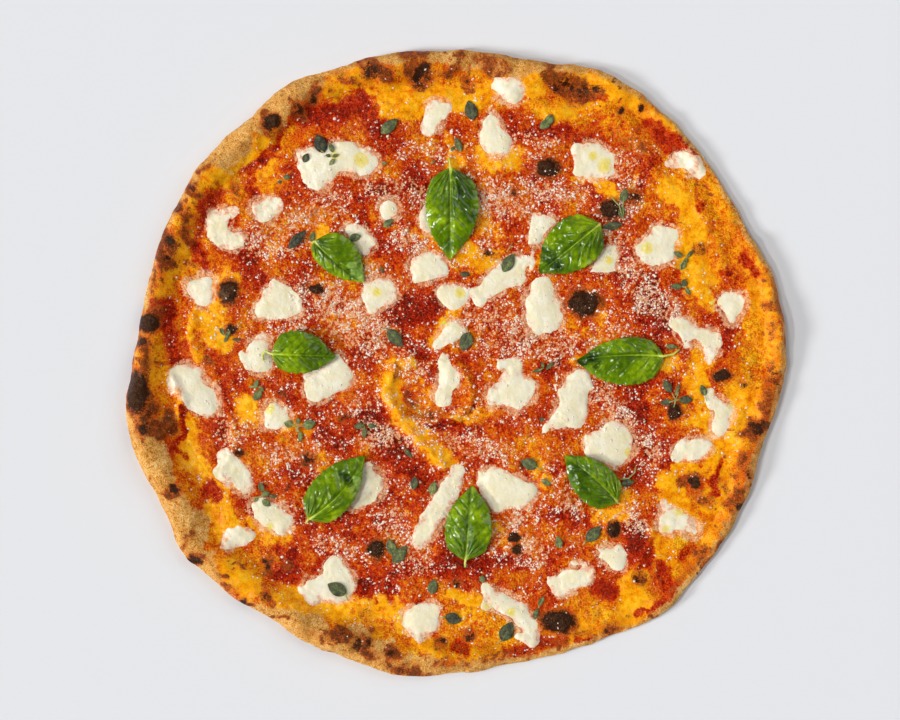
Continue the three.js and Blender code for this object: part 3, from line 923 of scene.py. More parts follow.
# Browned patches of the rim and of bubbles: from, to, reach and strength
BROWNED = smears(
    (-57, -134, -45, -141, 6.5), (-64, -138, -60, -134, 4, 0.8), (-84, -130, -72, -133, 4, 0.45),
    (-34, -143, -30, -150, 5.5, 0.95), (-28, -152, -20, -155, 4, 0.9), (-95, -115, -93, -119, 4, 0.8),
    (-103, -112, -98, -114, 5, 0.4), (-119, -103, -116, -110, 3, 0.6), (-136, -90, -133, -86, 3.4, 0.7),
    (-130, -97, -126, -96, 3.6, 0.9), (-112, -118, -104, -121, 2.2, 0.9), (-94, -98, -91, -106, 4.5, 0.55),
    (-46, -124, -42, -130, 5, 0.5), (-45, 148, -35, 143, 7, 0.9), (-58, 144, -50, 140, 5, 0.75),
    (-67, 139, -72, 131, 5, 0.75), (-20, 145, -14, 149, 6, 0.95), (-10, 147, 2, 152, 5.5, 0.65),
    (-26, 155, -14, 154, 4, 0.7), (10, 152, 24, 149, 7, 0.6), (22, 156, 32, 154, 2.5, 0.9),
    (42, 149, 52, 148, 4, 0.5), (50, 140, 62, 134, 7.5, 0.95), (64, 138, 72, 134, 5, 0.8),
    (3, 143, 5, 138, 3.6, 0.7), (-134, 88, -128, 84, 4.5, 0.9), (-141, 79, -136, 73, 5.5),
    (-139, 70, -134, 64, 5, 0.8), (-146, 62, -141, 58, 5.5), (-149, 54, -143, 48, 5, 0.95),
    (-152, 45, -147, 42, 3, 0.6), (-138, 57, -133, 50, 4.5, 0.5), (-127, 98, -121, 104, 2.6, 0.7),
    (-113, 102, -108, 107, 5, 0.35), (-93, 122, -92, 115, 5, 0.9), (-81, 129, -76, 123, 4.5, 0.9),
    (-84, 139, -80, 134, 4.5, 0.5), (-152, -23, -145, -29, 6, 0.95), (-158, -29, -150, -33, 4.5, 0.85),
    (-153, -12, -150, -20, 3.5, 0.75), (-142, -60, -139, -65, 3.4, 0.8), (-162, 8, -161, 0, 2.6, 0.7),
    (-158, 14, -150, 24, 6, 0.7), (150, -20, 156, -28, 5, 0.6), (144, -33, 153, -31, 4.5, 0.9),
    (146, -47, 140, -58, 4.5, 0.75), (140, -60, 141, -72, 4, 0.8), (119, -63, 128, -70, 6, 0.5),
    (120, -56, 116, -60, 5, 0.6), (84, 112, 89, 107, 6, 0.5), (88, 134, 100, 124, 3, 0.4),
    (72, 140, 84, 136, 2.6, 0.3), (136, -66, 132, -58, 4, 0.5), (66, -124, 72, -128, 4, 0.4),
    (74, -132, 80, -132, 3, 0.6), (88, -108, 94, -108, 4, 0.6), (140, -28, 144, -42, 4, 0.4),
    (158, -2, 159, -12, 4, 0.5), (14, 56, 18, 52, 4, 0.4), (-31, -6, -24, -20, 7, 0.5),
    (-22, -24, -8, -26, 5, 0.55),
)
# Oily yellow and orange streaks, where the fat ran: from, to, reach and strength
OIL = smears(
    (-106, 103, -118, 92, 7), (-100, 112, -92, 116, 6, 0.9), (-134, 77, -128, 90, 5, 0.8),
    (-60, 140, -40, 138, 7, 0.7), (-30, 132, 10, 134, 8), (10, 137, 45, 142, 7), (45, 145, 85, 135, 6),
    (85, 134, 110, 118, 5, 0.8), (50, 128, 70, 126, 4, 0.75), (12, 104, 26, 103, 6, 0.9),
    (-5, 112, -2, 100, 3, 0.8), (40, 128, 42, 122, 3, 0.7), (78, 88, 82, 84, 4, 0.8),
    (60, 92, 78, 90, 3, 0.85), (108, 88, 120, 66, 6, 0.9), (112, 62, 126, 44, 7), (108, 56, 112, 50, 5, 0.9),
    (118, 40, 126, 32, 6, 0.85), (150, 52, 154, 30, 6, 0.8), (156, 20, 158, 0, 5, 0.8),
    (8, 82, 20, 66, 6, 0.6), (2, 58, 12, 52, 8, 0.95), (38, 48, 48, 48, 3, 0.8),
    (-128, 20, -118, 12, 6, 0.95), (-122, 26, -112, 46, 7, 0.75), (-150, 38, -142, 46, 5, 0.9),
    (-158, 30, -150, 34, 4, 0.8), (-160, 2, -148, -8, 5, 0.75), (-104, -20, -98, -26, 6),
    (-88, -24, -76, -32, 4, 0.8), (-134, -32, -136, -48, 6), (-142, -14, -150, -2, 4, 0.6),
    (-112, -58, -106, -50, 6, 0.6), (-130, -52, -118, -72, 8, 0.85), (-122, -72, -112, -84, 7, 0.9),
    (-112, -100, -104, -112, 8, 0.95), (-98, -82, -90, -84, 5, 0.9), (-88, -122, -60, -120, 8, 0.95),
    (-36, -118, -26, -130, 6), (-20, -138, -10, -142, 5, 0.85), (-60, -114, -40, -126, 6, 0.7),
    (0, -116, 12, -116, 5, 0.9), (2, -128, 12, -124, 4, 0.6), (-30, -22, -34, -10, 4, 0.85),
    (-25, -10, -12, -24, 8, 0.5), (-33, -28, -18, -36, 4, 0.85), (-18, -36, -2, -52, 4, 0.85),
    (-38, -4, -32, 0, 4, 0.7), (0, -32, 12, -24, 5, 0.6), (-2, 28, -10, 12, 4, 0.8),
    (40, -42, 44, -60, 5, 0.65), (58, 4, 62, 4, 4, 0.9), (102, 4, 108, 0, 5, 0.8), (126, 8, 116, -8, 6, 0.8),
    (118, -10, 124, -20, 5, 0.9), (138, -16, 136, -36, 7, 0.95), (132, -38, 130, -52, 8, 0.8),
    (134, -60, 128, -76, 7, 0.75), (108, -60, 112, -76, 7), (100, -86, 104, -100, 6, 0.85),
    (88, -110, 88, -128, 7), (96, -120, 90, -130, 4, 0.9), (62, -128, 70, -130, 4, 0.7),
    (48, -136, 62, -138, 4, 0.6), (0, -148, 30, -146, 5, 0.8), (78, -58, 84, -66, 5, 0.7),
    (74, -50, 78, -46, 3, 0.8), (-70, 60, -68, 66, 4, 0.9), (-52, 44, -56, 50, 4, 0.8),
    (-99, 112, -103, 109, 4), (-68, 139, -66, 137, 3, 0.9), (121, -28, 126, -35, 4.5, 0.95),
    (113, -51, 119, -52, 4.5, 0.95), (148, -14, 146, -24, 4.5, 0.9), (126, -84, 130, -88, 4.5, 0.9),
    (-108, -100, -100, -112, 6, 0.85), (-44, 155, -30, 152, 3, 0.6), (-30, 152, -22, 150, 4, 0.85),
    (30, 146, 40, 143, 4, 0.95), (-56, 147, -48, 142, 3, 0.9), (74, 141, 90, 131, 4),
    (62, 144, 70, 143, 2.5, 0.9), (-122, 96, -110, 96, 4), (-136, 60, -134, 50, 4, 0.9),
    (-158, 6, -152, -8, 4, 0.95), (-133, 80, -131, 74, 3, 0.7), (24, -95, 18, -82, 6, 0.5),
    (62, -78, 84, -74, 5, 0.7), (-86, 62, -90, 54, 4, 0.5), (-64, 22, -52, 26, 4, 0.3),
    (-20, 64, -14, 58, 5, 0.5), (-96, 106, -98, 96, 5, 0.7), (-90, 92, -100, 90, 6, 0.6),
    (66, 34, 74, 22, 6, 0.5), (54, 20, 60, 18, 5, 0.4), (-66, -52, -72, -42, 5, 0.4),
    (-30, -70, -22, -80, 6, 0.3), (92, 94, 98, 78, 5, 0.45),
)
# Dark red pools of sauce, and dark red lines in the crease inside the rim and below the middle bubble, which
# are painted shade: from, to, reach and strength
DARK_POOLS_AND_CREASE_SHADE = smears(
    # The first five patches are the dark red line along the crease inside the rim: painted shade.
    (-82, 121, -92, 111, 2, 0.85), (-92, 111, -102, 99, 1.8, 0.85), (-102, 99, -105, 86, 1.8, 0.7),
    (-128, 84, -130, 64, 1.7, 0.9), (-130, 64, -125, 47, 2, 0.95), (-138, -23, -137, -34, 2.4),
    (-142, -38, -137, -44, 2.4, 0.8), (-147, 30, -144, 18, 3.5), (-126, -58, -122, -66, 4, 0.8),
    (128, -59, 130, -68, 2, 0.8), (92, -127, 110, -114, 2, 0.95), (60, -137, 69, -137, 2.4),
    (-92, -90, -84, -98, 2.6, 0.7), (94, 122, 101, 121, 2, 0.8), (62, 132, 76, 131, 2, 0.7),
    (-76, 122, -48, 130, 7), (-48, 130, -38, 118, 6, 0.9), (-128, 76, -121, 84, 5, 0.9),
    (-130, 72, -128, 50, 3, 0.5), (-38, 88, -18, 90, 6, 0.8), (-46, 74, -42, 58, 6, 0.8),
    (-152, 28, -142, 16, 5, 0.9), (-142, 16, -140, 2, 5, 0.9), (-28, 24, -14, 30, 9),
    (-28, 12, -18, 6, 5, 0.9), (36, 118, 54, 118, 5, 0.9), (100, 116, 112, 108, 7),
    (98, 102, 92, 84, 4, 0.7), (120, 78, 122, 82, 3, 0.8), (82, 46, 96, 40, 7, 0.8), (92, 34, 104, 22, 9),
    (92, -6, 92, -26, 6, 0.9), (92, -30, 90, -60, 5, 0.6), (146, 55, 150, 50, 4, 0.9),
    (136, 48.5, 136.5, 48.5, 2.4), (-44, -30, -30, -44, 9), (-30, -44, -18, -54, 6, 0.7),
    (-66, -34, -60, -42, 6, 0.7), (-82, -54, -78, -60, 4, 0.7), (-40, -66, -32, -68, 5, 0.7),
    (-84, -96, -84, -108, 5, 0.9), (-50, -110, -34, -116, 6), (-30, -106, 0, -98, 6, 0.7),
    # The last patch on this line is the dark red line below the middle bubble: painted shade.
    (4, -96, 16, -100, 7, 0.9), (16, -104, 34, -100, 5, 0.6), (-8, -32, 10, -34, 3.5, 0.8),
    (44, -4, 52, 2, 5, 0.7), (54, -50, 50, -56, 4, 0.8), (50, -76, 66, -78, 6, 0.8),
    (88, -82, 92, -100, 5, 0.9), (100, -106, 106, -114, 6, 0.9), (128, -56, 132, -50, 3, 0.9),
    (114, -96, 118, -90, 4, 0.7), (22, -142, 34, -144, 3, 0.8), (38, -139, 52, -138, 4, 0.8),
    (0, -142, 4, -144, 3, 0.8), (68, -110, 78, -114, 5, 0.8), (-128, -64, -124, -62, 4, 0.8),
    (-116, -16, -118, -34, 4, 0.6), (-138, -34, -144, -44, 3, 0.7), (-102, 56, -98, 40, 5, 0.6),
    (-104, 66, -108, 50, 4, 0.5), (-50, 8, -44, -2, 5, 0.5), (-60, -78, -56, -82, 7, 0.6),
    (14, -10, 12, -4, 4, 0.6), (-26, -17, -27, -19, 2.5, 0.7), (-38, 108, -30, 112, 5, 0.4),
    (132, 8, 138, 22, 4, 0.6), (-82, 56, -80, 66, 4, 0.5), (-60, 86, -68, 80, 5, 0.5),
)
# Dense drifts of grated hard cheese: from, to, reach and strength
DRIFTS = smears(
    (-62, 30, -40, 14, 13), (-100, 62, -84, 62, 9, 0.8), (-116, -26, -112, -36, 7, 0.7),
    (-40, -36, -24, -36, 9, 0.9), (8, 86, 30, 80, 12, 0.9), (84, -74, 90, -82, 6),
    (72, -16, 84, -26, 8, 0.9), (92, -38, 98, -46, 7, 0.8), (92, 34, 106, 28, 9, 0.9),
    (-46, -38, -40, -36, 8, 0.9), (30, -78, 36, -74, 6, 0.9), (56, -72, 66, -72, 6, 0.8),
    (-26, 62, -20, 58, 7, 0.9), (-40, 90, -18, 86, 8, 0.7), (78, 66, 90, 90, 8, 0.8),
    (84, 50, 92, 48, 7, 0.9), (20, 10, 56, 8, 10, 0.8), (8, 26, 26, 20, 9, 0.7), (-30, 4, -20, -2, 6, 0.7),
    (-2, -40, 18, -44, 8, 0.7), (12, -86, 40, -94, 9, 0.7), (-36, -78, -20, -98, 9, 0.7),
    (-80, 16, -76, 40, 6, 0.7), (-78, 72, -60, 80, 9, 0.7), (-24, 106, -2, 106, 6, 0.5),
    (28, 108, 44, 112, 8, 0.6), (92, 108, 82, 98, 6, 0.6), (-62, -60, -76, -56, 7, 0.6),
    (-92, -46, -70, -42, 7, 0.6), (-70, -88, -52, -92, 6, 0.6), (62, 10, 84, 18, 6, 0.6),
    (-52, -22, -40, -18, 7, 0.6), (50, -54, 56, -62, 6, 0.6), (108, -4, 116, 4, 5, 0.4),
    (36, 88, 60, 84, 8, 0.6), (-96, 14, -84, 18, 6, 0.7), (-50, 48, -44, 46, 6, 0.7),
    (6, 60, 20, 62, 6, 0.6), (-108, 104, -100, 100, 4, 0.3),
)
# How wide the bare crust is, how far in the sauce ends and how toasted the rim is, on the way round
BARE_WIDTH = RoundTable((
    (0, 2.6), (30, 1.8), (45, 1.4), (58, 2), (64, 3.4), (70, 4.5), (76, 6), (83, 10), (90, 9), (97, 5),
    (103, 4.5), (110, 4), (114, 4), (118, 9), (123, 11), (128, 13), (133, 12), (138, 13), (142, 6), (147, 4),
    (152, 2.5), (170, 2.2), (178, 1.5), (184, 3), (187, 9), (191, 15), (198, 16), (204, 13), (208, 14),
    (212, 18), (217, 14), (221, 8), (224, 2), (229, 2), (232, 6), (237, 11), (242, 14), (247, 15), (252, 13),
    (258, 11), (265, 10), (272, 7), (282, 4), (295, 2), (312, 2.4), (325, 4), (340, 4),
))
SHORE = RoundTable((
    (0, 7), (30, 6), (50, 7), (62, 10), (75, 13), (90, 16), (105, 16), (120, 20), (135, 20), (150, 15),
    (165, 12), (180, 13), (190, 23), (200, 24), (212, 25), (220, 22), (226, 18), (235, 20), (245, 24),
    (258, 22), (272, 15), (290, 8), (330, 7), (350, 7),
))
TOASTED = RoundTable((
    (0, 0.6), (30, 0.3), (60, 0.35), (90, 0.4), (110, 0.35), (125, 0.25), (140, 0.25), (150, 0.6),
    (170, 0.6), (186, 0.8), (196, 0.2), (230, 0.3), (250, 0.35), (265, 0.5), (280, 0.4), (310, 0.35),
    (330, 0.65), (345, 0.7),
))


class Ground:
    """Some points of the pizza's top, with what the fields need to know of them."""

    RIM_FADE = (10.0, 34.0)  # how far in from the edge the rim's looks turn into the middle's

    def __init__(self, dough: DoughForm, xy: Array) -> None:
        """Keeps the points, and where they lie on the way round and in from the edge."""
        self.xy = xy
        self.bent = Warp.CLOSE.move(Warp.WIDE.move(xy))
        self.angle = np.arctan2(xy[:, 1], xy[:, 0])
        self.inset = dough.inset(xy)
        self.rim = 1.0 - smooth_step(*self.RIM_FADE, self.inset + 6.0 * Noise.RIM_REACH.at(xy))


class Bake:
    """What the oven did to the top: its height, and how bare, oily, red or burnt each point is."""

    BUMPS = ((9.0, 0.5), (3.2, 0.26), (1.5, 0.12))  # size and height of the bubbles in the sauce
    RIM_BUMPS = ((17.0, 1.5), (7.0, 0.8), (3.0, 0.22))
    RIM_SMOOTH = 14.0   # how far in from the edge the rim's own bumps reach
    LEAST = 2.4         # how thin the dough may get
    OIL_SPREAD = 1.25   # how much wider than its streak the fat has run
    BLACK_SPREAD = 1.35  # the same for a scorched spot's black
    BROWN_SPREAD = 2.1   # and for the brown round it
    OILY_WARMTH = 0.75  # how warm the sauce's colour is under fat
    CREST_INSET = 6.0   # how far in from the edge the rim's crest lies
    CREST_WIDTH = 5.5

    def __init__(self, dough: DoughForm) -> None:
        """Keeps the dough's form and draws the noise for its bumps."""
        self.dough = dough
        self.bumps = [(SoftNoise(20 + i, size, 2), rise) for i, (size, rise) in enumerate(self.BUMPS)]
        self.rim_bumps = [(SoftNoise(30 + i, size, 2), rise) for i, (size, rise) in enumerate(self.RIM_BUMPS)]
        self.cheese = KDTree(0)
        self.cheese.balance()

    def height(self, xy: Array, calm: Array | float = 0.0) -> Array:
        """Height of the baked top.

        Args:
            xy: points, one to a row.
            calm: how far the small bumps are levelled out there, from 0 to 1.

        Returns:
            One height for each point.
        """
        height = self.dough.height(xy)
        bent = Warp.FOLDS.move(xy)
        for fold in FOLDS:
            height += fold.rise * fold.crest(bent)
        skin = 1.0 + 0.35 * Noise.BLISTER_SKIN.at(xy)
        for blister in BLISTERS:
            height += blister.rise * np.clip(1.15 - blister.apart(bent), 0.0, 1.0) ** 0.7 * skin
        inset = self.dough.inset(xy)
        rim = 1.0 - smooth_step(self.RIM_SMOOTH, self.RIM_SMOOTH + 8.0, inset)
        fade = smooth_step(0.0, 2.5, inset)
        for bumps, share in ((self.bumps, 1.0 - rim), (self.rim_bumps, rim * fade)):
            for noise, rise in bumps:
                height += rise * share * noise.at(xy) * (1.0 - calm)
        return laid_over(height, self.LEAST, 0.4)

    def know_cheese(self, points: Array) -> None:
        """Keeps places that mozzarella covers, so that the sauce round them is stained with milk."""
        self.cheese = KDTree(len(points))
        for i, (x, y) in enumerate(points):
            self.cheese.insert((x, y, 0.0), i)
        self.cheese.balance()

    def milk(self, xy: Array) -> Array:
        """How strongly melted cheese stains the sauce at some points."""
        gap = np.array([self.cheese.find((x, y, 0.0))[2] or 0.0 for x, y in xy])
        return 1.0 - smooth_step(0.2, 3.0, gap + 1.3 * Noise.MILK.at(xy))

    def fields(self, xy: Array) -> dict[str, Array]:
        """The fields that the top's finishes read.

        Args:
            xy: points, one to a row.

        Returns:
            Values from 0 to 1 for each point, by the field's name.
        """
        ground = Ground(self.dough, xy)
        bare = self._bare(ground)
        warmth, fat, pools_and_crease_shade = self._sauce(ground)
        char, singed = self.burns(xy)
        drift = coverage(ground.bent, DRIFTS)
        grated = np.clip(0.3 * (1.0 - ground.rim) + 0.62 * drift, 0.0, 1.0)
        return {
            "warmth": warmth,
            "fat": fat * (1.0 - 0.9 * pools_and_crease_shade),
            "bare": bare,
            "toast": np.maximum(self._toast(ground), singed),
            "char": char,
            "grated": grated * (1.0 - bare) * (1.0 - 0.5 * fat),
            "milk": self.milk(xy) * (1.0 - bare),
        }

    def _bare(self, ground: Ground) -> Array:
        """How bare the crumb is, outside a ragged border."""
        border = BARE_WIDTH.at(ground.angle)
        ragged = ground.inset + Noise.BARE_BORDER.at(ground.xy) * np.minimum(0.5 * border, 5.0)
        return 1.0 - smooth_step(border - 3.5, border + 4.0, ragged)

    def _sauce(self, ground: Ground) -> tuple[Array, Array, Array]:
        """How the sauce baked.

        Args:
            ground: the points.

        Returns:
            How warm its colour is at each point, how fat, and how strongly it is darkened by deep pools and
            by painted shade along creases.
        """
        warmth = 0.48 + 0.25 * ground.rim + 0.16 * Noise.WARMTH.at(ground.xy)
        fat = coverage(ground.bent, OIL, self.OIL_SPREAD)
        warmth += (self.OILY_WARMTH - warmth) * 0.8 * fat
        near = Warp.FOLDS.move(ground.xy)
        for fold in FOLDS:
            crest = fold.crest(near)
            warmth += (fold.warmth - warmth) * crest
            fat = np.maximum(fat, crest * smooth_step(0.6, 0.9, fold.warmth))
        # Deep red pools, and painted shade along the creases, darken the sauce's colour.
        pools_and_crease_shade = coverage(ground.bent, DARK_POOLS_AND_CREASE_SHADE)
        return warmth * (1.0 - 0.66 * pools_and_crease_shade), fat, pools_and_crease_shade

    def _toast(self, ground: Ground) -> Array:
        """How brown the rim's crest, its patches, its edge and its freckles are."""
        level = TOASTED.at(ground.angle)
        crest = level * bump(ground.inset - self.CREST_INSET, self.CREST_WIDTH)
        patches = np.maximum(crest, coverage(ground.bent, BROWNED))
        stretch = Noise.TOASTED_EDGE.at(ground.xy)
        edge = smooth_step(3.2, 0.2, ground.inset - 1.5 * stretch) * smooth_step(0.05, 0.8, stretch)
        edge *= smooth_step(0.25, 0.6, level)
        freckles = 0.2 * ground.rim * (0.7 + Noise.FRECKLES.at(ground.xy))
        freckles += 0.6 * ground.rim * smooth_step(0.7, 1.0, Noise.SPECKS.at(ground.xy))
        uneven = 0.95 + 0.55 * Noise.TOAST.at(ground.xy)
        return np.maximum.reduce([patches * uneven, 0.8 * edge, freckles])

    def burns(self, xy: Array) -> tuple[Array, Array]:
        """How the blisters and the scorched spots burnt.

        Args:
            xy: points, one to a row.

        Returns:
            How black each point is, and how brown.
        """
        near = Warp.SCORCH.move(xy)
        black = 0.7 * coverage(near, SCORCHES, self.BLACK_SPREAD) * (0.9 + 0.7 * Noise.SCORCH.at(xy))
        brown = 0.8 * coverage(near, SCORCHES, self.BROWN_SPREAD)
        for blister in BLISTERS:
            apart = np.sqrt(blister.apart(near))
            black = np.maximum(black, 1.0 - smooth_step(0.5, 1.3, apart))
            brown = np.maximum(brown, 0.75 * (1.0 - smooth_step(0.9, 1.6, apart)))
        return black, brown


class Part(IntEnum):
    """The rows of the crust's skin, from the middle of its underside, out and back in."""

    UNDERSIDE = 0
    WALL = 1
    RIM = 2
    HIDDEN = 3     # the middle, under the toppings


@dataclass
class Crust:
    """The sheet of dough, as one closed skin."""

    bake: Bake
    turns: int = 1000
    undercut: float = 3.0         # how far the underside curls in before it touches the stone
    rim_reach: float = 34.0       # how far in the fine rows of the rim go
    rim_step: float = 0.95
    sauce_bite: float = 2.2       # how deep the crust lies under the sauce
    hidden_drop: float = 0.8      # how deep its hidden middle lies
    dimple: float = 0.25          # unevenness of the underside
    wall_share: float = 0.42      # how far up the rim the wall goes
    map_reach: float = 178.0      # half the width of the flat map
    map_wall: float = 6.0         # width of the wall on the flat map
    map_under: float = 0.78       # how much the underside is shrunk there
    FIRST_STEPS: ClassVar[tuple[float, ...]] = (0.12, 0.35, 0.7, 1.15, 1.7, 2.4)   # insets of the rim's rows

    def build(self) -> Piece:
        """Makes the crust.

        Returns:
            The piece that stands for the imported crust.
        """
        rows = self._rows()
        mesh = mesh_grid(self.turns, len(rows) - 1)
        flat = read_places(mesh)
        angle = flat[:, 0] * math.tau
        row = np.rint(flat[:, 1] * (len(rows) - 1)).astype(int)
        parts, share = (np.array(column)[row] for column in zip(*rows))
        edge = self.bake.dough.outline(angle)
        radius = self._radius(parts, share, edge)
        xy = around(angle, radius)
        top = self._top(parts, share, xy, edge - radius, SHORE.at(angle))
        under = np.clip(1.0 + Noise.DIMPLES.at(xy), 0.0, 2.0) * smooth_step(0.0, 0.3, share)
        wall = self.wall_share * self.bake.dough.crest(angle) * (1.0 - np.cos(share * math.pi / 2))
        low = [0.5 * self.dimple * under, wall]
        write_places(mesh, np.column_stack([xy, np.select(self._lower(parts), low, top)]))
        wall_out = edge + self.map_wall * (1.0 - share)
        unrolled = np.select(self._lower(parts), [self.map_under * radius, wall_out], radius)
        lay_map(mesh, 0.5 + 0.5 * around(angle, unrolled) / self.map_reach)
        shape = to_bmesh(mesh)
        bmesh.ops.remove_doubles(shape, verts=shape.verts, dist=0.002)
        piece = new_piece(shape, "stone_baked_crust", CRUST_TOP, Slot.CRUST, ["crust"])
        self._dress(piece.data)
        return piece

    def _rows(self) -> list[tuple[Part, float]]:
        """Part of each row, and its share of the way along the part, or on the rim how far in it lies."""
        under = [(Part.UNDERSIDE, value) for value in np.linspace(0.0, 1.0, 40)]
        wall = [(Part.WALL, value) for value in np.linspace(0.0, 1.0, 8)[1:]]
        insets = [*self.FIRST_STEPS, *np.arange(3.2, self.rim_reach, self.rim_step)]
        rim = [(Part.RIM, value) for value in insets]
        return [*under, *wall, *rim, *((Part.HIDDEN, value) for value in np.linspace(1.0, 0.0, 7))]

    def _lower(self, parts: Array) -> list[Array]:
        """Which points belong to the underside, and which to the wall."""
        return [parts == Part.UNDERSIDE, parts == Part.WALL]

    def _radius(self, parts: Array, share: Array, edge: Array) -> Array:
        """How far out each point lies, from its part, its share of it and the edge's radius."""
        wall = edge - self.undercut * (1.0 - np.sin(share * math.pi / 2))
        radius = np.select(self._lower(parts), [(edge - self.undercut) * share, wall], edge - share)
        return np.where(parts == Part.HIDDEN, (edge - self.rim_reach) * share, radius)

    def _top(self, parts: Array, share: Array, xy: Array, inset: Array, shore: Array) -> Array:
        """Height of the upper side.

        Args:
            parts: each point's part.
            share: its share of the part.
            xy: its place.
            inset: how far in from the edge it lies.
            shore: how far in the sauce starts there.

        Returns:
            The heights, sunk where the sauce lies.
        """
        top = self.bake.height(xy)
        sunk = self.sauce_bite * smooth_step(shore + 3.0, shore + 8.0, inset)
        hidden = np.minimum(top, self.bake.dough.height(xy)) - self.hidden_drop
        top = np.where((parts == Part.HIDDEN) & (share < 1.0), hidden, top)
        return np.maximum(top - sunk, 1.0)

    def _dress(self, mesh: Mesh) -> None:
        """Paints the fields on the finished mesh, with a baked underside."""
        places = read_places(mesh) / MM
        xy = places[:, :2]
        fields = self.bake.fields(xy)
        low = 1.0 - smooth_step(0.3, 0.9, places[:, 2] / self.bake.height(xy))
        loose = Warp.LEOPARD.move(xy)
        leopard = smooth_step(0.0, 0.85, Noise.LEOPARD.at(loose))
        deep_spot = smooth_step(0.3, 0.95, Noise.DEEP_SPOTS.at(loose))
        fields["bare"] = np.maximum(fields["bare"], low)
        below = {"toast": 0.25 + 0.75 * leopard, "char": 0.7 * leopard * deep_spot}
        for name, values in {**below, "grated": 0.0, "milk": 0.0}.items():
            fields[name] = np.where(low > 0.5, values, fields[name])
        paint(mesh, fields)


@dataclass
class Sauce:
    """The film of tomato sauce and oil over the dough, which dips under the rim's surface where it ends."""

    bake: Bake
    cells: int = 292
    film: float = 0.25       # how far the sauce stands over the dough
    dip: float = 0.55        # how far its border lies under the rim's surface
    shore_width: float = 4.5
    shore_unevenness: float = 1.6
    thickness: float = 0.8
    sink: float = 1.2        # how much deeper the underside lies inside its first ring
    BURIED: ClassVar[float] = 1.0    # height of the underside's middle, inside the dough
    RINGS: ClassVar[tuple[float, ...]] = (
        1.0, 0.985, 0.965, 0.94, 0.91, 0.88, 0.85, 0.8, 0.7, 0.55, 0.3, 0.0005,
    )

    def build(self) -> Piece:
        """Makes the film of sauce.

        Returns:
            The piece.
        """
        mesh = mesh_grid(self.cells, self.cells)
        share, angle = self._disc(read_places(mesh)[:, :2] * 2.0 - 1.0)
        shore = self._shore(angle)
        radius = share * shore
        xy = around(angle, radius)
        rise = -self.dip + (self.film + self.dip) * smooth_step(0.0, self.shore_width, shore - radius)
        write_places(mesh, np.column_stack([xy, self.bake.height(xy) + rise]))
        lay_map(mesh, 0.5 + 0.48 * xy / shore.max())
        shape = to_bmesh(mesh)
        self._close(shape)
        piece = new_piece(shape, "tomato_sauce", TOMATO_FILM, Slot.SAUCE)
        paint(piece.data, self.bake.fields(read_places(piece.data)[:, :2] / MM))
        return piece

    def _disc(self, square: Array) -> tuple[Array, Array]:
        """Bends a square from -1 to 1 into a disc, with cells of one size.

        Args:
            square: points of the square.

        Returns:
            Each point's share of the way out and its angle.
        """
        a, b = square.T
        wide = np.abs(a) > np.abs(b)
        far = np.where(wide, a, b)
        near = np.where(wide, b, a)
        turn = math.pi / 4 * np.divide(near, far, out=np.zeros_like(far), where=far != 0)
        angle = np.where(wide, turn, math.pi / 2 - turn)
        return np.abs(far), angle + np.where(far < 0, math.pi, 0.0)

    def _shore(self, angle: Array) -> Array:
        """Radius at which the sauce ends."""
        out = self.bake.dough.outline(angle) - SHORE.at(angle)
        return out + self.shore_unevenness * Noise.SHORE.at(around(angle, out))

    def _close(self, shape: BMesh) -> None:
        """Closes the film below with an underside in rings that run in to one point under the top."""
        rim = [edge for edge in shape.edges if edge.is_boundary]
        for share in self.RINGS:
            ring, rim = extrude_ring(shape, rim)
            way = np.array([vert.co[:2] for vert in ring])
            xy = way / np.maximum(np.linalg.norm(way, axis=1), 1e-6)[:, None]
            xy = xy * (share * self._shore(np.arctan2(way[:, 1], way[:, 0])))[:, None]
            low = self.bake.height(xy) - self.dip - self.thickness
            low = low if share == 1.0 else np.clip(low - self.sink, 0.6, 99.0 if share > 0.9 else self.BURIED)
            for vert, (x, y), z in zip(ring, xy, low):
                vert.co = (x, y, z)
        bmesh.ops.remove_doubles(shape, verts=ring, dist=0.02)


# ---- Mozzarella --------------------------------------------------------------------------------------------

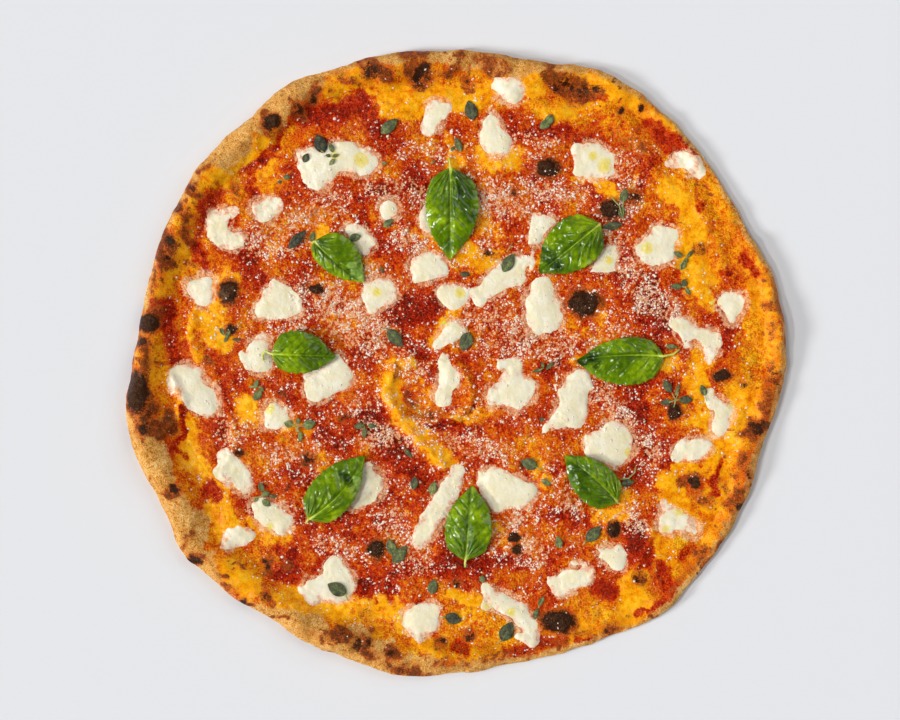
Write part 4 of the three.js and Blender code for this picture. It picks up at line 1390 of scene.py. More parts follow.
# Tongues where the cheese ran past its piece: from, to, and how wide
TONGUES = smears(
    (-122.5, 74, -121.5, 64, 2.5), (-121, 62, -113, 59, 2.5), (-79, 105, -75, 92, 2),
    (-73, 89, -70, 87.5, 2), (-12, 129.5, -5, 129, 2.5), (-15, 118, -14, 119, 3), (60, 108, 60, 96, 2.5),
    (105, 101, 112, 104, 2.2), (119, 96, 121, 96, 2.5), (-101, 80, -100, 75, 2), (-47, 42, -45, 33, 2),
    (9, 36, 12, 31, 3), (38, 56, 37, 48, 2.5), (38, 75, 39, 68, 2), (67, 46, 74, 50, 2),
    (110, 67, 110, 64, 2), (107, 20, 112, 15, 2.5), (115, 9.5, 117, 9, 2), (126, 3, 127, 4, 2),
    (-108, 5, -104, -1, 2.5), (-100, 13, -97, 14, 2.5), (-76, -6, -60, 4, 2), (-142.5, -4, -142, -14, 2),
    (-119, -20, -118, -21, 2), (-7, 1, -4, -4, 3.5), (-4, -4, -7, -18, 4.6), (-10, 10, -9, 11, 2.5),
    (22, 0, 29, 1, 2.5), (15, -17, 18, -11, 2), (44, -33, 50, -26, 3), (50, -6, 48, -20, 1.5),
    (64, -6, 67, -12, 2), (64.5, -36, 66, -42, 2), (86, -38, 87, -38, 2), (126, -15, 127, -22, 2.5),
    (109, -44, 110, -47, 1.5), (-117, -45, -116, -46, 2), (-119, -55, -115, -60, 3),
    (-106, -62, -105, -62, 2), (-102, -70, -101, -76, 2), (-84, -82, -83, -84, 2), (-44, -50, -43, -51, 2),
    (0, -54, -20, -90, 4.6), (-22, -89, -21, -90, 3), (12, -54, 14, -66, 2), (20, -73, 21, -73, 2),
    (104, -70, 107, -74, 3), (58, -100, 64, -100, 2.5), (48, -109, 52, -113, 3), (70, -92, 74, -95, 2.5),
    (-77, -113, -70, -118, 2), (14, -112, 14, -121, 2.5), (31, -136, 38, -138, 2.5),
)


class Puddle:
    """The outline of a melted piece, read from its solid and rounded."""

    TURNS = 120
    HALVINGS = 9
    SPACING = 0.8   # between the outline's points
    ROUNDING = 1.7  # how far its corners are smoothed
    TONGUE_GAP = 3.5    # how far off a tongue's middle may lie and still belong to the piece
    MELDING = 0.8       # how smoothly a tongue runs into the piece
    INNER_RINGS = (0.8, 0.5, 0.2)   # smaller copies of the outline that stand for all it covers

    def __init__(self, node: str) -> None:
        """Finds the solid's outline by rays from above."""
        tree, corners = read_solid(node)
        self.middle = corners[:, :2].mean(axis=0)
        self.low, self.high = corners.min(axis=0), corners.max(axis=0)
        far = np.linalg.norm(corners[:, :2] - self.middle, axis=1).max()
        angles = np.arange(self.TURNS) * math.tau / self.TURNS
        self.outline = self._rounded(np.array([self._edge(tree, angle, far) for angle in angles]))
        self.tongues: list[Smear] = []
        middles = np.array([np.add(*tongue.ends) for tongue in TONGUES]) / 2
        self.tongues = [tongue for tongue, gap in zip(TONGUES, self.depth(middles)) if gap > -self.TONGUE_GAP]
        for tongue in self.tongues:
            for x, y in tongue.ends:
                self.low = np.minimum(self.low, (x - tongue.reach, y - tongue.reach, self.low[2]))
                self.high = np.maximum(self.high, (x + tongue.reach, y + tongue.reach, self.high[2]))

    def _edge(self, tree: BVHTree, angle: float, far: float) -> Array:
        """The outline's point one way from the middle, by halving."""
        way = np.array([math.cos(angle), math.sin(angle)])
        inside, outside = 0.0, far + 0.1
        for _ in range(self.HALVINGS):
            half = (inside + outside) / 2
            on = height_in(tree, *(self.middle + way * half)) is not None
            inside, outside = (half, outside) if on else (inside, half)
        return self.middle + way * inside

    def _rounded(self, corners: Array) -> Array:
        """Spaces an outline's points evenly and smooths them along it."""
        closed = np.vstack([corners, corners[:1]])
        run = np.concatenate([[0.0], np.cumsum(np.linalg.norm(np.diff(closed, axis=0), axis=1))])
        count = max(12, round(run[-1] / self.SPACING))
        even = np.arange(count) * run[-1] / count
        points = np.stack([np.interp(even, run, closed[:, k]) for k in range(2)], axis=1)
        waves = np.fft.rfft(points, axis=0)
        order = np.arange(len(waves))[:, None] * math.tau / run[-1]
        return np.fft.irfft(waves * np.exp(-0.5 * (order * self.ROUNDING) ** 2), n=count, axis=0)

    def covered(self) -> Array:
        """Points that stand for all that the piece covers: its outline, and rings inside it."""
        rings = [self.middle + (self.outline - self.middle) * share for share in self.INNER_RINGS]
        return np.vstack([self.outline, *rings])

    def depth(self, xy: Array) -> Array:
        """How far points lie inside the outline, with a minus outside."""
        start, end = self.outline, np.roll(self.outline, -1, axis=0)
        gap = np.linalg.norm(xy[:, None, :] - start[None, :, :], axis=2).min(axis=1)
        up = (start[None, :, 1] > xy[:, None, 1]) != (end[None, :, 1] > xy[:, None, 1])
        rise = np.where(end[:, 1] == start[:, 1], 1e-9, end[:, 1] - start[:, 1])
        slope = (end[:, 0] - start[:, 0]) / rise
        cross = start[None, :, 0] + (xy[:, None, 1] - start[None, :, 1]) * slope[None, :]
        inside = (up & (xy[:, None, 0] < cross)).sum(axis=1) % 2 == 1
        depth = np.where(inside, gap, -gap)
        for tongue in self.tongues:
            along = (tongue.reach - line_gap(xy, tongue.ends)) / self.MELDING
            depth = self.MELDING * np.logaddexp(depth / self.MELDING, along)
        return depth


class Melt(Enum):
    """How far a piece of mozzarella has spread."""

    SET = (0.32, 7.0, 1.4, 0.0)
    THIN = (0.22, 5.0, 1.9, 0.4)

    def __init__(self, kept: float, shoulder: float, ragged: float, stain: float) -> None:
        """Names the values.

        Args:
            kept: share of the solid's thickness that is left.
            shoulder: how far in from its border the piece rises.
            ragged: unevenness of the border.
            stain: how much sauce shows through.
        """
        self.kept, self.shoulder, self.ragged, self.stain = kept, shoulder, ragged, stain


PIECES = range(1, 47)
THIN_PIECES = (2, 3, 6, 10, 30, 34, 36, 39, 40, 42)
# Spots of yellow oil on the mozzarella: middle and reach
OIL_SPOTS = spots(
    (1.5, 35.5, 3.6), (-6, 20.5, 3.2), (-94, -22, 4.2), (111, -73, 4), (104, -83, 3.5), (-94, -82, 3.4),
    (86, -44, 3), (137, -20, 3.4), (128, 31, 4.5), (74, 99, 5), (-48, 102, 5), (-29, -127, 4),
    (15, -121, 3.4), (27, -124, 3), (68, 104, 3), (-40, 36, 3), (76, 52, 3), (-61, 104, 3), (95, 58, 4),
)


@dataclass
class Mozzarella:
    """One melted piece: a low dome with a rounded shoulder, whose ragged border dips into the sauce."""

    number: int
    bake: Bake
    puddle: Puddle
    cell: float = 0.62
    skirt: float = 1.8     # how far the hidden border reaches past the outline
    spread: float = 0.6    # how far the thin border reaches past the solid
    fall: float = 0.55     # slope of the border into the sauce
    cover: float = 0.4     # how thinly it may lie over the highest bumps
    lift: float = 0.2      # how far it stands over the bumps of the sauce
    least: float = 0.5     # height of the lowest dome
    skin: float = 1.6      # how deep its hidden underside lies
    lumps: tuple[tuple[float, float], ...] = ((8.0, 0.16), (3.2, 0.04))

    @property
    def melt(self) -> Melt:
        """How far this piece has spread."""
        return Melt.THIN if self.number in THIN_PIECES else Melt.SET

    def build(self) -> Piece:
        """Makes the piece.

        Returns:
            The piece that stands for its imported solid.
        """
        low = self.puddle.low[:2] - self.skirt - 1.0
        size = self.puddle.high[:2] + self.skirt + 1.0 - low
        mesh = mesh_grid(*(max(4, math.ceil(side / self.cell)) for side in size))
        xy = read_places(mesh)[:, :2] * size + low
        depth = self._depth(xy)
        base = self.bake.height(xy, calm=0.85 * smooth_step(0.5, 3.5, depth))
        film = self.bake.height(xy) + self.cover - 1.5 * smooth_step(2.0, 0.0, depth)
        height = laid_over(base + self._rise(xy, depth), film, 0.15)
        write_places(mesh, np.column_stack([xy, height]))
        shape = to_bmesh(mesh)
        shape.verts.ensure_lookup_table()
        outside = [vert for vert, inside in zip(shape.verts, depth) if inside < -self.skirt]
        bmesh.ops.delete(shape, geom=outside, context="VERTS")
        thicken(shape, self.skin)
        node = f"mozzarella_{self.number:02d}"
        piece = new_piece(shape, f"melted_{node}", MELTED, Slot.MOZZARELLA, [node])
        self._dress(piece.data)
        return piece

    def _depth(self, xy: Array) -> Array:
        """How far points lie inside the piece's ragged outline."""
        fine = SoftNoise(100 + self.number, 7.0, 4).at(xy)
        return self.puddle.depth(xy) + self.spread + self.melt.ragged * fine

    def _rise(self, xy: Array, depth: Array) -> Array:
        """Height of the piece over the baked top."""
        bed = float(self.bake.dough.height(self.puddle.middle[None, :])[0])
        full = max(self.least, (self.puddle.high[2] - bed) * self.melt.kept)
        inward = np.clip(depth / self.melt.shoulder, 0.0, 1.0)
        dome = full * (0.8 * smooth_step(0.0, 1.0, inward) + 0.2 * (1.0 - (1.0 - inward) ** 2))
        uneven = sum(rise * SoftNoise(150 + i, size, 2).at(xy) for i, (size, rise) in enumerate(self.lumps))
        if self.melt is Melt.THIN:
            uneven = uneven + 0.25 * Noise.LACE.at(xy) - 0.1
        lift = self.lift * smooth_step(0.0, 2.0, depth)
        return np.where(depth > 0, lift + dome + uneven * inward, self.fall * depth)

    def _dress(self, mesh: Mesh) -> None:
        """Paints where the piece is thin, stained and oily."""
        xy = read_places(mesh)[:, :2] / MM
        border = 1.0 - smooth_step(0.0, 5.0, self._depth(xy) + 1.5 * Noise.THIN_BORDER.at(xy))
        stain = self.melt.stain * (0.5 + 1.1 * Noise.STAIN.at(xy))
        paint(mesh, {"thin": border + stain, "oil": coverage(xy, OIL_SPOTS)})


# ---- Laying things on top ----------------------------------------------------------------------------------


class Surface:
    """The highest faces of finished pieces, for laying things on them."""

    def __init__(self, pieces: Iterable[Piece]) -> None:
        """Puts the pieces' faces in one search tree, in millimetres."""
        joined = bmesh.new()
        for piece in pieces:
            joined.from_mesh(piece.data)
        bmesh.ops.scale(joined, vec=(1 / MM,) * 3, verts=joined.verts)
        self.tree = BVHTree.FromBMesh(joined)
        joined.free()

    def height(self, xy: Array) -> Array:
        """Height of the highest face over each point, or 0 beside the pieces."""
        return np.array([height_in(self.tree, x, y) or 0.0 for x, y in xy])


def rib_pattern(t: Array, s: Array, length: float, half: Array, pairs: float) -> Array:
    """How close points of a leaf are to its side veins, which sweep forward from the midrib.

    Args:
        t: share of the way from the base to the tip.
        s: share of the way from the midrib to a side, with a minus on the right.
        length: the leaf's length.
        half: half its width at each point.
        pairs: how many veins leave the midrib on each side.

    Returns:
        1 on a vein, falling to 0 about half a millimetre away.
    """
    out = np.abs(s) * half / length
    phase = (t - 0.75 * out - 1.2 * out**2) * pairs + 0.27 * np.sign(s)
    gap = np.abs(phase - np.rint(phase)) * length / pairs
    return bump(gap, 0.4) * smooth_step(1.0, 0.5, np.abs(s)) * smooth_step(0.0, 0.08, t)


def leaf_grid(cells: tuple[int, int]) -> tuple[Mesh, Array, Array]:
    """A grid for a leaf's upper side, closer towards its base and its tip.

    Args:
        cells: how many lie across and along it.

    Returns:
        The mesh, each point's share of the way to a side, and its share of the way to the tip.
    """
    mesh = mesh_grid(*cells)
    flat = read_places(mesh)
    return mesh, flat[:, 0] * 2.0 - 1.0, 0.5 - 0.5 * np.cos(flat[:, 1] * math.pi)


def add_tube(shape: BMesh, path: Array, radius: float, vein: float = 1.0) -> None:
    """Adds a closed tube, such as a stem, that tapers a little towards its end.

    Args:
        shape: the shape to add it to.
        path: points along its middle.
        radius: its radius at its start.
        vein: how much its colour is that of a vein.
    """
    layer = shape.verts.layers.float["vein"]
    points = [Vector(point) for point in (path[0], *path, path[-1])]
    before = Matrix.Identity(4)
    for i, point in enumerate(points):
        way = points[min(i + 1, len(points) - 1)] - points[max(i - 1, 0)]
        size = 0.02 if i in (0, len(points) - 1) else radius * (1.0 - 0.3 * i / len(points))
        turn = way.to_track_quat("Z", "Y").to_matrix().to_4x4()
        place = Matrix.Translation(point) @ turn @ Matrix.Scale(size, 4)
        if i == 0:
            ring = bmesh.ops.create_circle(shape, segments=7, radius=1.0, matrix=place)["verts"]
            edges = list({edge for vert in ring for edge in vert.link_edges})
        else:
            ring, edges = extrude_ring(shape, edges)
            bmesh.ops.transform(shape, matrix=place @ before.inverted(), verts=ring)
        for vert in ring:
            vert[layer] = vein
        before = place
    bmesh.ops.remove_doubles(shape, verts=shape.verts, dist=0.035)


# ---- Basil -------------------------------------------------------------------------------------------------


@dataclass(frozen=True)
class LeafLook:
    """What sets one basil leaf apart from the others. Places are in the frame."""

    bend: float = 0.0                  # how far the midrib bows to its left
    pleats: float = 1.0                # strength of the pleats that run out from the base
    stem: tuple[tuple[float, float], ...] = ()   # the stem's own path past the blade
    pale: tuple[Smear, ...] = ()       # where the blade folds over and shows its underside
    dark_and_painted_shade: tuple[Smear, ...] = ()      # where painted shade darkens it
    dents: tuple[Smear, ...] = ()      # hollows, where the strength is their depth


# The shade patches below are painted shade: the darker half or hollow of each leaf, where less light falls.
LEAF_LOOKS = {
    1: LeafLook(
        0.0, 1.3, ((-3.6, 100), (-3.8, 103.2)), dark_and_painted_shade=smears((2.5, 94, 5, 74, 5, 0.5)),
        dents=smears((0, 90, 4, 84, 1.5, 0.8), (1, 80, 5, 74, 1.5, 0.8)),
    ),
    2: LeafLook(
        -0.8, 0.5, ((-72.3, 60.6),), pale=smears((-53, 49, -47.8, 43.5, 3)),
        dents=smears((-58, 48, -54, 46, 1.4, 0.9)),
    ),
    3: LeafLook(
        0.0, 0.9, ((70.8, 70.3),), dark_and_painted_shade=smears((42, 56, 50, 50, 4, 0.7)),
        dents=smears((44, 58, 49, 55, 2.4, 1.6), (49.5, 54, 51, 50, 2, 1.4)),
    ),
    4: LeafLook(0.0, 0.4, ((-95.6, 6.4), (-97.2, 4.7), (-96.6, 1.9)), dents=smears((-77, 4.5, -76, 4, 1.2))),
    5: LeafLook(
        -1.5, 0.6, ((107.9, 4.8), (111, 7.3)), dark_and_painted_shade=smears((61, 1, 68, 3, 3, 0.5)),
        dents=smears(
            (61.5, 1.5, 64, 1, 1.6, 1.2), (67, 5.5, 68, 4, 1.8, 1.8), (72, 7.5, 73, 6, 1.8, 1.4),
            (69.5, -1.5, 71, 0, 1.6, 1.5),
        ),
    ),
    6: LeafLook(
        -3.2, 1.6, ((-75.6, -79.4),), pale=smears((-50, -57.5, -48.2, -64, 2.6)),
        dark_and_painted_shade=smears((-57, -55, -53, -58, 3, 0.5)), dents=smears((-57, -54, -54, -58, 2.2, 1.4)),
    ),
    7: LeafLook(0.0, 1.0, ((4, -99.5), (4.1, -101.4))),
    8: LeafLook(-1.6, 1.0, ((80.4, -69.6),), dark_and_painted_shade=smears((60, -52, 70, -68, 6, 0.45))),
}


class Blade:
    """The plan of a basil blade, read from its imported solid."""

    STEP = 0.4        # between the readings that look for its base
    STEM_WIDTH = 5.0  # the blade starts where the solid gets wider than this
    STATIONS = np.linspace(0.0, 1.0, 41)   # where its width is read

    def __init__(self, node: str) -> None:
        """Finds the tip, which points at the pizza's middle, the base, and the way between them."""
        self.tree, corners = read_solid(node)
        corners = corners[:, :2]
        self.tip = corners[np.argmin(np.hypot(*corners.T))]
        far = corners[np.argmax(np.linalg.norm(corners - self.tip, axis=1))]
        self.base = self._base(far)
        self.length = float(np.linalg.norm(self.tip - self.base))
        self.way = (self.tip - self.base) / self.length
        self.side = np.array([-self.way[1], self.way[0]])

    def _reach(self, middle: Array, way: Array) -> float:
        """How far the solid reaches from a point of its axis to one side."""
        reach = 0.0
        while reach < 25.0 and height_in(self.tree, *(middle + way * reach)) is not None:
            reach += 0.2
        return reach

    def _base(self, far: Array) -> Array:
        """The middle of the blade where it starts, seen from the stem's end."""
        way = (self.tip - far) / np.linalg.norm(self.tip - far)
        side = np.array([-way[1], way[0]])
        for run in np.arange(self.STEP, 15.0, self.STEP):
            middle = far + way * run
            left, right = (self._reach(middle, side * turn) for turn in (1, -1))
            if left + right > self.STEM_WIDTH:
                return middle + side * (left - right) / 2 - way * 0.8
        return far

    def half_width(self, s: Array, t: Array) -> Array:
        """Half the blade's width at shares s of the way to a side and t of the way to the tip."""
        widths = []
        for turn in (1, -1):
            ends = (self.base + self.way * self.length * u for u in self.STATIONS)
            reach = np.array([self._reach(middle, self.side * turn) for middle in ends])
            reach[[0, -1]] = 0.35, 0.0
            reach[1:-1] = 0.25 * reach[:-2] + 0.5 * reach[1:-1] + 0.25 * reach[2:]
            widths.append(np.interp(t, self.STATIONS, reach))
        return np.where(s > 0, *widths)

    def form(self, s: Array, t: Array, xy: Array) -> Array:
        """The solid's domed upper side, as a smooth surface through heights read from it.

        Args:
            s: each point's share of the way to a side.
            t: its share of the way to the tip.
            xy: its place.

        Returns:
            The heights.
        """
        picked = np.flatnonzero(np.abs(s) < 0.9)[::23]
        read = [(i, height_in(self.tree, *xy[i])) for i in picked]
        rows, heights = (np.array(column) for column in zip(*((i, z) for i, z in read if z is not None)))
        terms = np.stack([t**i * s**j for i in range(5) for j in range(4)], axis=1)
        return terms @ np.linalg.lstsq(terms[rows], heights, rcond=None)[0]


@dataclass
class BasilLeaf:
    """A basil leaf with sunken veins, a quilted blade with toothed sides, and a stem."""

    number: int
    look: LeafLook
    below: Surface
    cells: tuple[int, int] = (60, 112)
    thickness: float = 0.35
    clearance: float = 0.3
    pairs: float = 5.5
    quilt: float = 0.8          # how far the blade bulges between its veins
    trough: float = 0.6         # how deep the midrib lies
    wave: float = 0.6           # how far its sides rise and fall
    tooth_length: float = 3.4
    tooth_depth: float = 0.07   # as a share of half the width
    stem_radius: float = 0.7

    def build(self) -> Piece:
        """Makes the leaf.

        Returns:
            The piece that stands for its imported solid.
        """
        node = f"basil_leaf_{self.number}"
        blade = Blade(node)
        mesh, s, t = leaf_grid(self.cells)
        half = self._toothed(blade, s, t)
        xy = self._plan(blade, s, t, half)
        form = blade.form(s, t, xy)
        rib = rib_pattern(t, s, blade.length, half, self.pairs)
        across = np.abs(s) * half
        dents = coverage(Warp.DENTS.move(xy), self.look.dents)
        crumple = 0.6 + 0.9 * Noise.CRUMPLE.at(xy)
        height = form + self._relief(t, s, across, rib, blade.length, xy) - dents * crumple
        height = laid_over(height, self.below.height(xy) + self.clearance + self.thickness)
        write_places(mesh, np.column_stack([xy, height]))
        midrib = bump(across, 0.6 - 0.35 * t) * (0.85 - 0.6 * t)
        # Painted shade: the blade is painted darker along its side veins, in its dents and in a line beside
        # the midrib, where shade falls in its creases; the leaf's shade patches add painted shade on its
        # darker parts.
        crease_shade = 0.15 * rib + 0.2 * np.clip(dents, 0.0, 1.0) + 0.15 * bump(across - 1.6, 0.8)
        paint(mesh, {
            "vein": np.maximum(midrib, 0.55 * rib * (1.0 - 0.6 * t)) + 0.5 * smooth_step(0.1, 0.0, t),
            "dark_and_painted_shade": crease_shade * 0.5 + coverage(Warp.SHADE.move(xy), self.look.dark_and_painted_shade),
            "pale": coverage(Warp.UNDERSIDE.move(xy), self.look.pale),
        })
        shape = to_bmesh(mesh)
        bmesh.ops.remove_doubles(shape, verts=shape.verts, dist=0.02)
        thicken(shape, self.thickness)
        self._add_stem(shape, blade)
        return new_piece(shape, f"fresh_{node}", BASIL_LEAF, Slot.BASIL, [node])

    def _toothed(self, blade: Blade, s: Array, t: Array) -> Array:
        """Half the blade's width at each point, with toothed sides and a drawn-out tip."""
        half = blade.half_width(s, t)
        tooth = (t * blade.length / self.tooth_length) % 1.0
        half = half * (1.0 + self.tooth_depth * (tooth - 0.5) * smooth_step(0.08, 0.2, t) * np.abs(s) ** 6)
        return half * (1.0 - 0.25 * smooth_step(0.72, 0.95, t))

    def _plan(self, blade: Blade, s: Array, t: Array, half: Array) -> Array:
        """Place of each point, on a midrib that bows."""
        middle = self.look.bend * 4.0 * t * (1.0 - t)
        offset = middle + np.where(s > 0, s * (half - middle), s * (half + middle))
        return blade.base + blade.way * (blade.length * t)[:, None] + blade.side * offset[:, None]

    def _relief(self, t: Array, s: Array, across: Array, rib: Array, length: float, xy: Array) -> Array:
        """The blade's own relief: panels that bulge between the veins, pleats, and wavy sides.

        Args:
            t: each point's share of the way to the tip.
            s: its share of the way to a side.
            across: how far it lies from the midrib.
            rib: how close it is to a side vein, from 0 to 1.
            length: the blade's length.
            xy: its place.

        Returns:
            The height over the blade's plain form.
        """
        inner = (1.0 - np.abs(s) ** 3) * smooth_step(0.0, 1.5, across) * smooth_step(1.0, 0.85, t)
        panels = self.quilt * inner * (1.0 - rib) ** 2
        trough = -self.trough * bump(across, 1.3)
        fan = np.arctan2(across, np.maximum(t * length, 0.5)) + 0.12 * Noise.PLEATS.at(xy)
        near = smooth_step(0.7, 0.15, t) * smooth_step(0.0, 0.12, t)
        pleat = 0.4 * self.look.pleats * np.sin(fan * 24.0 + 1.0) * near * inner
        wave = self.wave * np.sin(t * 19.0 + np.sign(s) * 1.3 + self.number) * np.abs(s) ** 3
        fine = 0.3 * SoftNoise(210 + self.number, 3.0, 3).at(xy)
        fine = fine + 0.5 * SoftNoise(220 + self.number, 9.0, 1).at(xy)
        return panels + trough + pleat + wave + fine

    def _add_stem(self, shape: BMesh, blade: Blade) -> None:
        """Adds the stem, from under the blade's base outwards."""
        flat = np.vstack([blade.base + blade.way * 2.5, blade.base, *self.look.stem])
        start = height_in(blade.tree, *(blade.base + blade.way * 1.5)) or 6.0
        rest = self.below.height(flat) + self.stem_radius * 0.8
        heights = np.maximum(rest, np.linspace(start - 0.8, rest[-1] + 0.6, len(flat)))
        add_tube(shape, np.column_stack([flat, heights]), self.stem_radius)


# ---- Scattered toppings ------------------------------------------------------------------------------------

# Oregano leaflets: middle, length, width, degrees to the tip, and how dark they are
LEAFLETS = (
    (-68.3, 110.1, 10, 6.6, 112, 1), (-75.5, 103, 5, 3.4, 65, 0.85), (-64.4, 104, 2.8, 1.6, 160, 0.8),
    (-60.7, 104, 3.4, 1.8, 20, 0.2), (-62.5, 100.8, 4.2, 1.9, 235, 0.1), (-62.7, 108, 5, 2.6, 110, 0.35),
    (-85, 93.4, 3.5, 2.5, 5, 0.6), (-88.6, 91, 2.3, 1.7, 0, 0.5), (-33.8, 118.8, 10.8, 5.8, 42, 0.45),
    (6.9, 126.8, 10, 6.4, 105, 0.75), (44, 119.6, 6.5, 4.6, 215, 0.2), (46.3, 122.2, 5.4, 4.6, 60, 0.35),
    (0.6, 109.8, 7.7, 3.5, 112, 0.35), (-2.2, 107.7, 2.6, 1.7, 60, 0.5), (-36.2, 100.3, 2.8, 1.6, -35, 0.2),
    (-12, 101.1, 2.6, 1.4, 30, 0.2), (-34.4, 70.4, 6.2, 3.4, 38, 0.25), (-79.9, 62.3, 12, 4.9, 46, 0.9),
    (-72.3, 63.7, 5.2, 2.9, 75, 0.35), (-50.9, 63.3, 5.8, 4, 15, 0.55), (25.7, 50.6, 10.5, 5.8, 60, 0.4),
    (4.1, 44.8, 5.2, 2.6, -5, 0.9), (-37.6, 47.1, 4, 1.4, 105, 0.6), (-30.9, 12.9, 11.3, 6.2, -48, 0.55),
    (4.4, 11.1, 10, 6.6, 250, 0.6), (40.1, -3.3, 4.8, 2, 190, 0.5), (46.4, -0.8, 5.5, 2, 48, 0.45),
    (42.7, -0.4, 3, 1.6, 110, 0.4), (83.4, 84.2, 7, 4.2, 80, 0.3), (82.2, 75.9, 6, 3.4, 95, 0.35),
    (77.5, 69.1, 10, 4.2, 188, 0.65), (110.6, 54.8, 5.2, 2.7, 150, 0.25), (112.9, 49.2, 4.6, 3, 245, 0.25),
    (116.5, 55.1, 5.2, 1.9, 50, 0.4), (114.7, 51.8, 2.8, 1.8, 300, 0.3), (109.5, 38.8, 6, 3.2, 175, 0.45),
    (113.6, 40.6, 3.8, 3.2, 80, 0.5), (115.4, 36.2, 4, 2.1, 300, 0.3), (107.4, 8.6, 5.8, 2.8, -3, 0.35),
    (105.1, -11.1, 7.4, 3.9, 123, 0.55), (110.1, -12.8, 6.2, 1.7, 72, 0.3),
    (104.3, -19.2, 5.6, 3.2, 190, 0.5), (114.4, -17.9, 6.8, 4, 0, 0.7), (123, -13.1, 5.8, 3.2, 110, 0.55),
    (-117.4, 16.2, 4.6, 1.9, 125, 0.6), (-114.4, 14.8, 4.6, 2.3, 65, 0.4),
    (-115.5, 12.2, 3.2, 1.8, 240, 0.3), (-110, 12.1, 4.8, 1.4, 355, 0.8), (-100.3, -9.9, 4.8, 2.6, 70, 0.2),
    (-99.8, -15.8, 6.2, 4, 235, 0.15), (-102.7, -11.4, 3, 1.3, 185, 0), (-97.8, -12.6, 3.4, 2.2, 320, 0.2),
    (-84.2, -29.9, 4.6, 3.6, 165, 0.15), (-73.9, -30.2, 6.6, 5, 15, 0.1), (-78.3, -36.5, 5.4, 2.5, 265, 0.1),
    (-79.4, -28.4, 3.4, 2, 100, 0.2), (-97.9, -61.4, 4.8, 3, 110, 0.5), (-96, -65.1, 4.6, 3.4, 200, 0.25),
    (-95.3, -69.5, 5, 3.4, 320, 0), (-92, -66.2, 3.8, 2, 350, 0.6), (-100.5, -68, 2.6, 1.6, 230, 0.1),
    (-48.9, -31, 5.4, 3.2, 192, 0.25), (-42.6, -31, 4.4, 2.2, 350, 0.35),
    (-46.3, -34.4, 5.4, 2.7, 268, 0.45), (-24.3, -44.7, 5.4, 2.4, -52, 0.5),
    (-21.4, -59.4, 6.6, 3.8, 85, 0.6), (-12.1, -62, 7, 4, 75, 0.1), (35.9, -49.9, 9, 5.6, 158, 0.45),
    (44.5, -59.2, 5.2, 2.9, -35, 0.2), (42.2, -27.7, 2.8, 2, 80, 0.8), (-32.8, -91.7, 9.2, 5, 112, 0.25),
    (-28.6, -95.2, 10.8, 6, 53, 0.35), (50.8, -89, 6.2, 3.7, 100, 0.15), (68.2, -84.9, 10, 6.2, 45, 0.5),
    (85.4, -59.3, 6.6, 3.8, 10, 0.75), (-60, -112.4, 10.5, 6.8, 152, 0.55),
    (-12.1, -111.2, 7.8, 4.8, 80, 0.4), (12.7, -107.4, 3.8, 3, 90, 0.2), (-1.8, -127.2, 8.4, 5.6, -20, 0.8),
    (24.9, -133.7, 10.6, 7, 62, 0.7), (42.1, -118.5, 5.4, 2.3, 65, 0.3), (39.5, -124.8, 6, 2.7, 72, 0.5),
)
# Their stems: the radius of each, and points along it
STEMLETS = (
    (0.35, (77.1, 83.3), (81.1, 78.7), (83.2, 71.4), (82.9, 79), (83.3, 82)),
    (0.3, (114, 52.6), (112, 50), (111.5, 47)), (0.3, (112.4, 38.8), (114.4, 38.2), (115.2, 36.6)),
    (0.35, (109.2, -18), (107.4, -14.5)), (0.3, (109.2, -18), (110.6, -14)),
    (0.3, (109.2, -18), (106, -19.2)), (0.3, (109.2, -18), (112, -17.8)),
    (0.35, (109.2, -18), (108.2, -21.5)), (0.35, (-80, -31.6), (-76.4, -30.6)),
    (0.35, (-80, -31.6), (-78.6, -34.5)), (0.3, (-80, -31.6), (-82.4, -30.6)),
    (0.35, (-80, -31.6), (-80.2, -34)), (0.3, (-103, -67), (-98.5, -66.4), (-96, -64.6)),
    (0.25, (43.4, -2), (41, -3)), (0.3, (-46.2, -31), (-46.4, -33)), (0.25, (40.8, -122), (41.4, -120.6)),
    (0.3, (-34.2, 17.4), (-37, 17.8)), (0.3, (5.6, 15.6), (4.6, 19)), (0.3, (39.6, -51.6), (42.8, -53)),
    (0.35, (-56, -114.8), (-54.4, -118.4)), (0.35, (22.6, -138.4), (19.4, -139.8)),
    (0.3, (64.8, -88), (62.8, -90.4)), (0.3, (-5.6, -126.6), (-8.6, -126.8)),
    (0.4, (81.6, -57.5), (85.6, -57.2), (88.8, -54.2), (89.4, -50.8)), (0.25, (25, 56), (27.8, 60.8)),
    (0.25, (124, -16), (124.8, -18.6)), (0.25, (-66, 105.4), (-68, 106.5)),
)


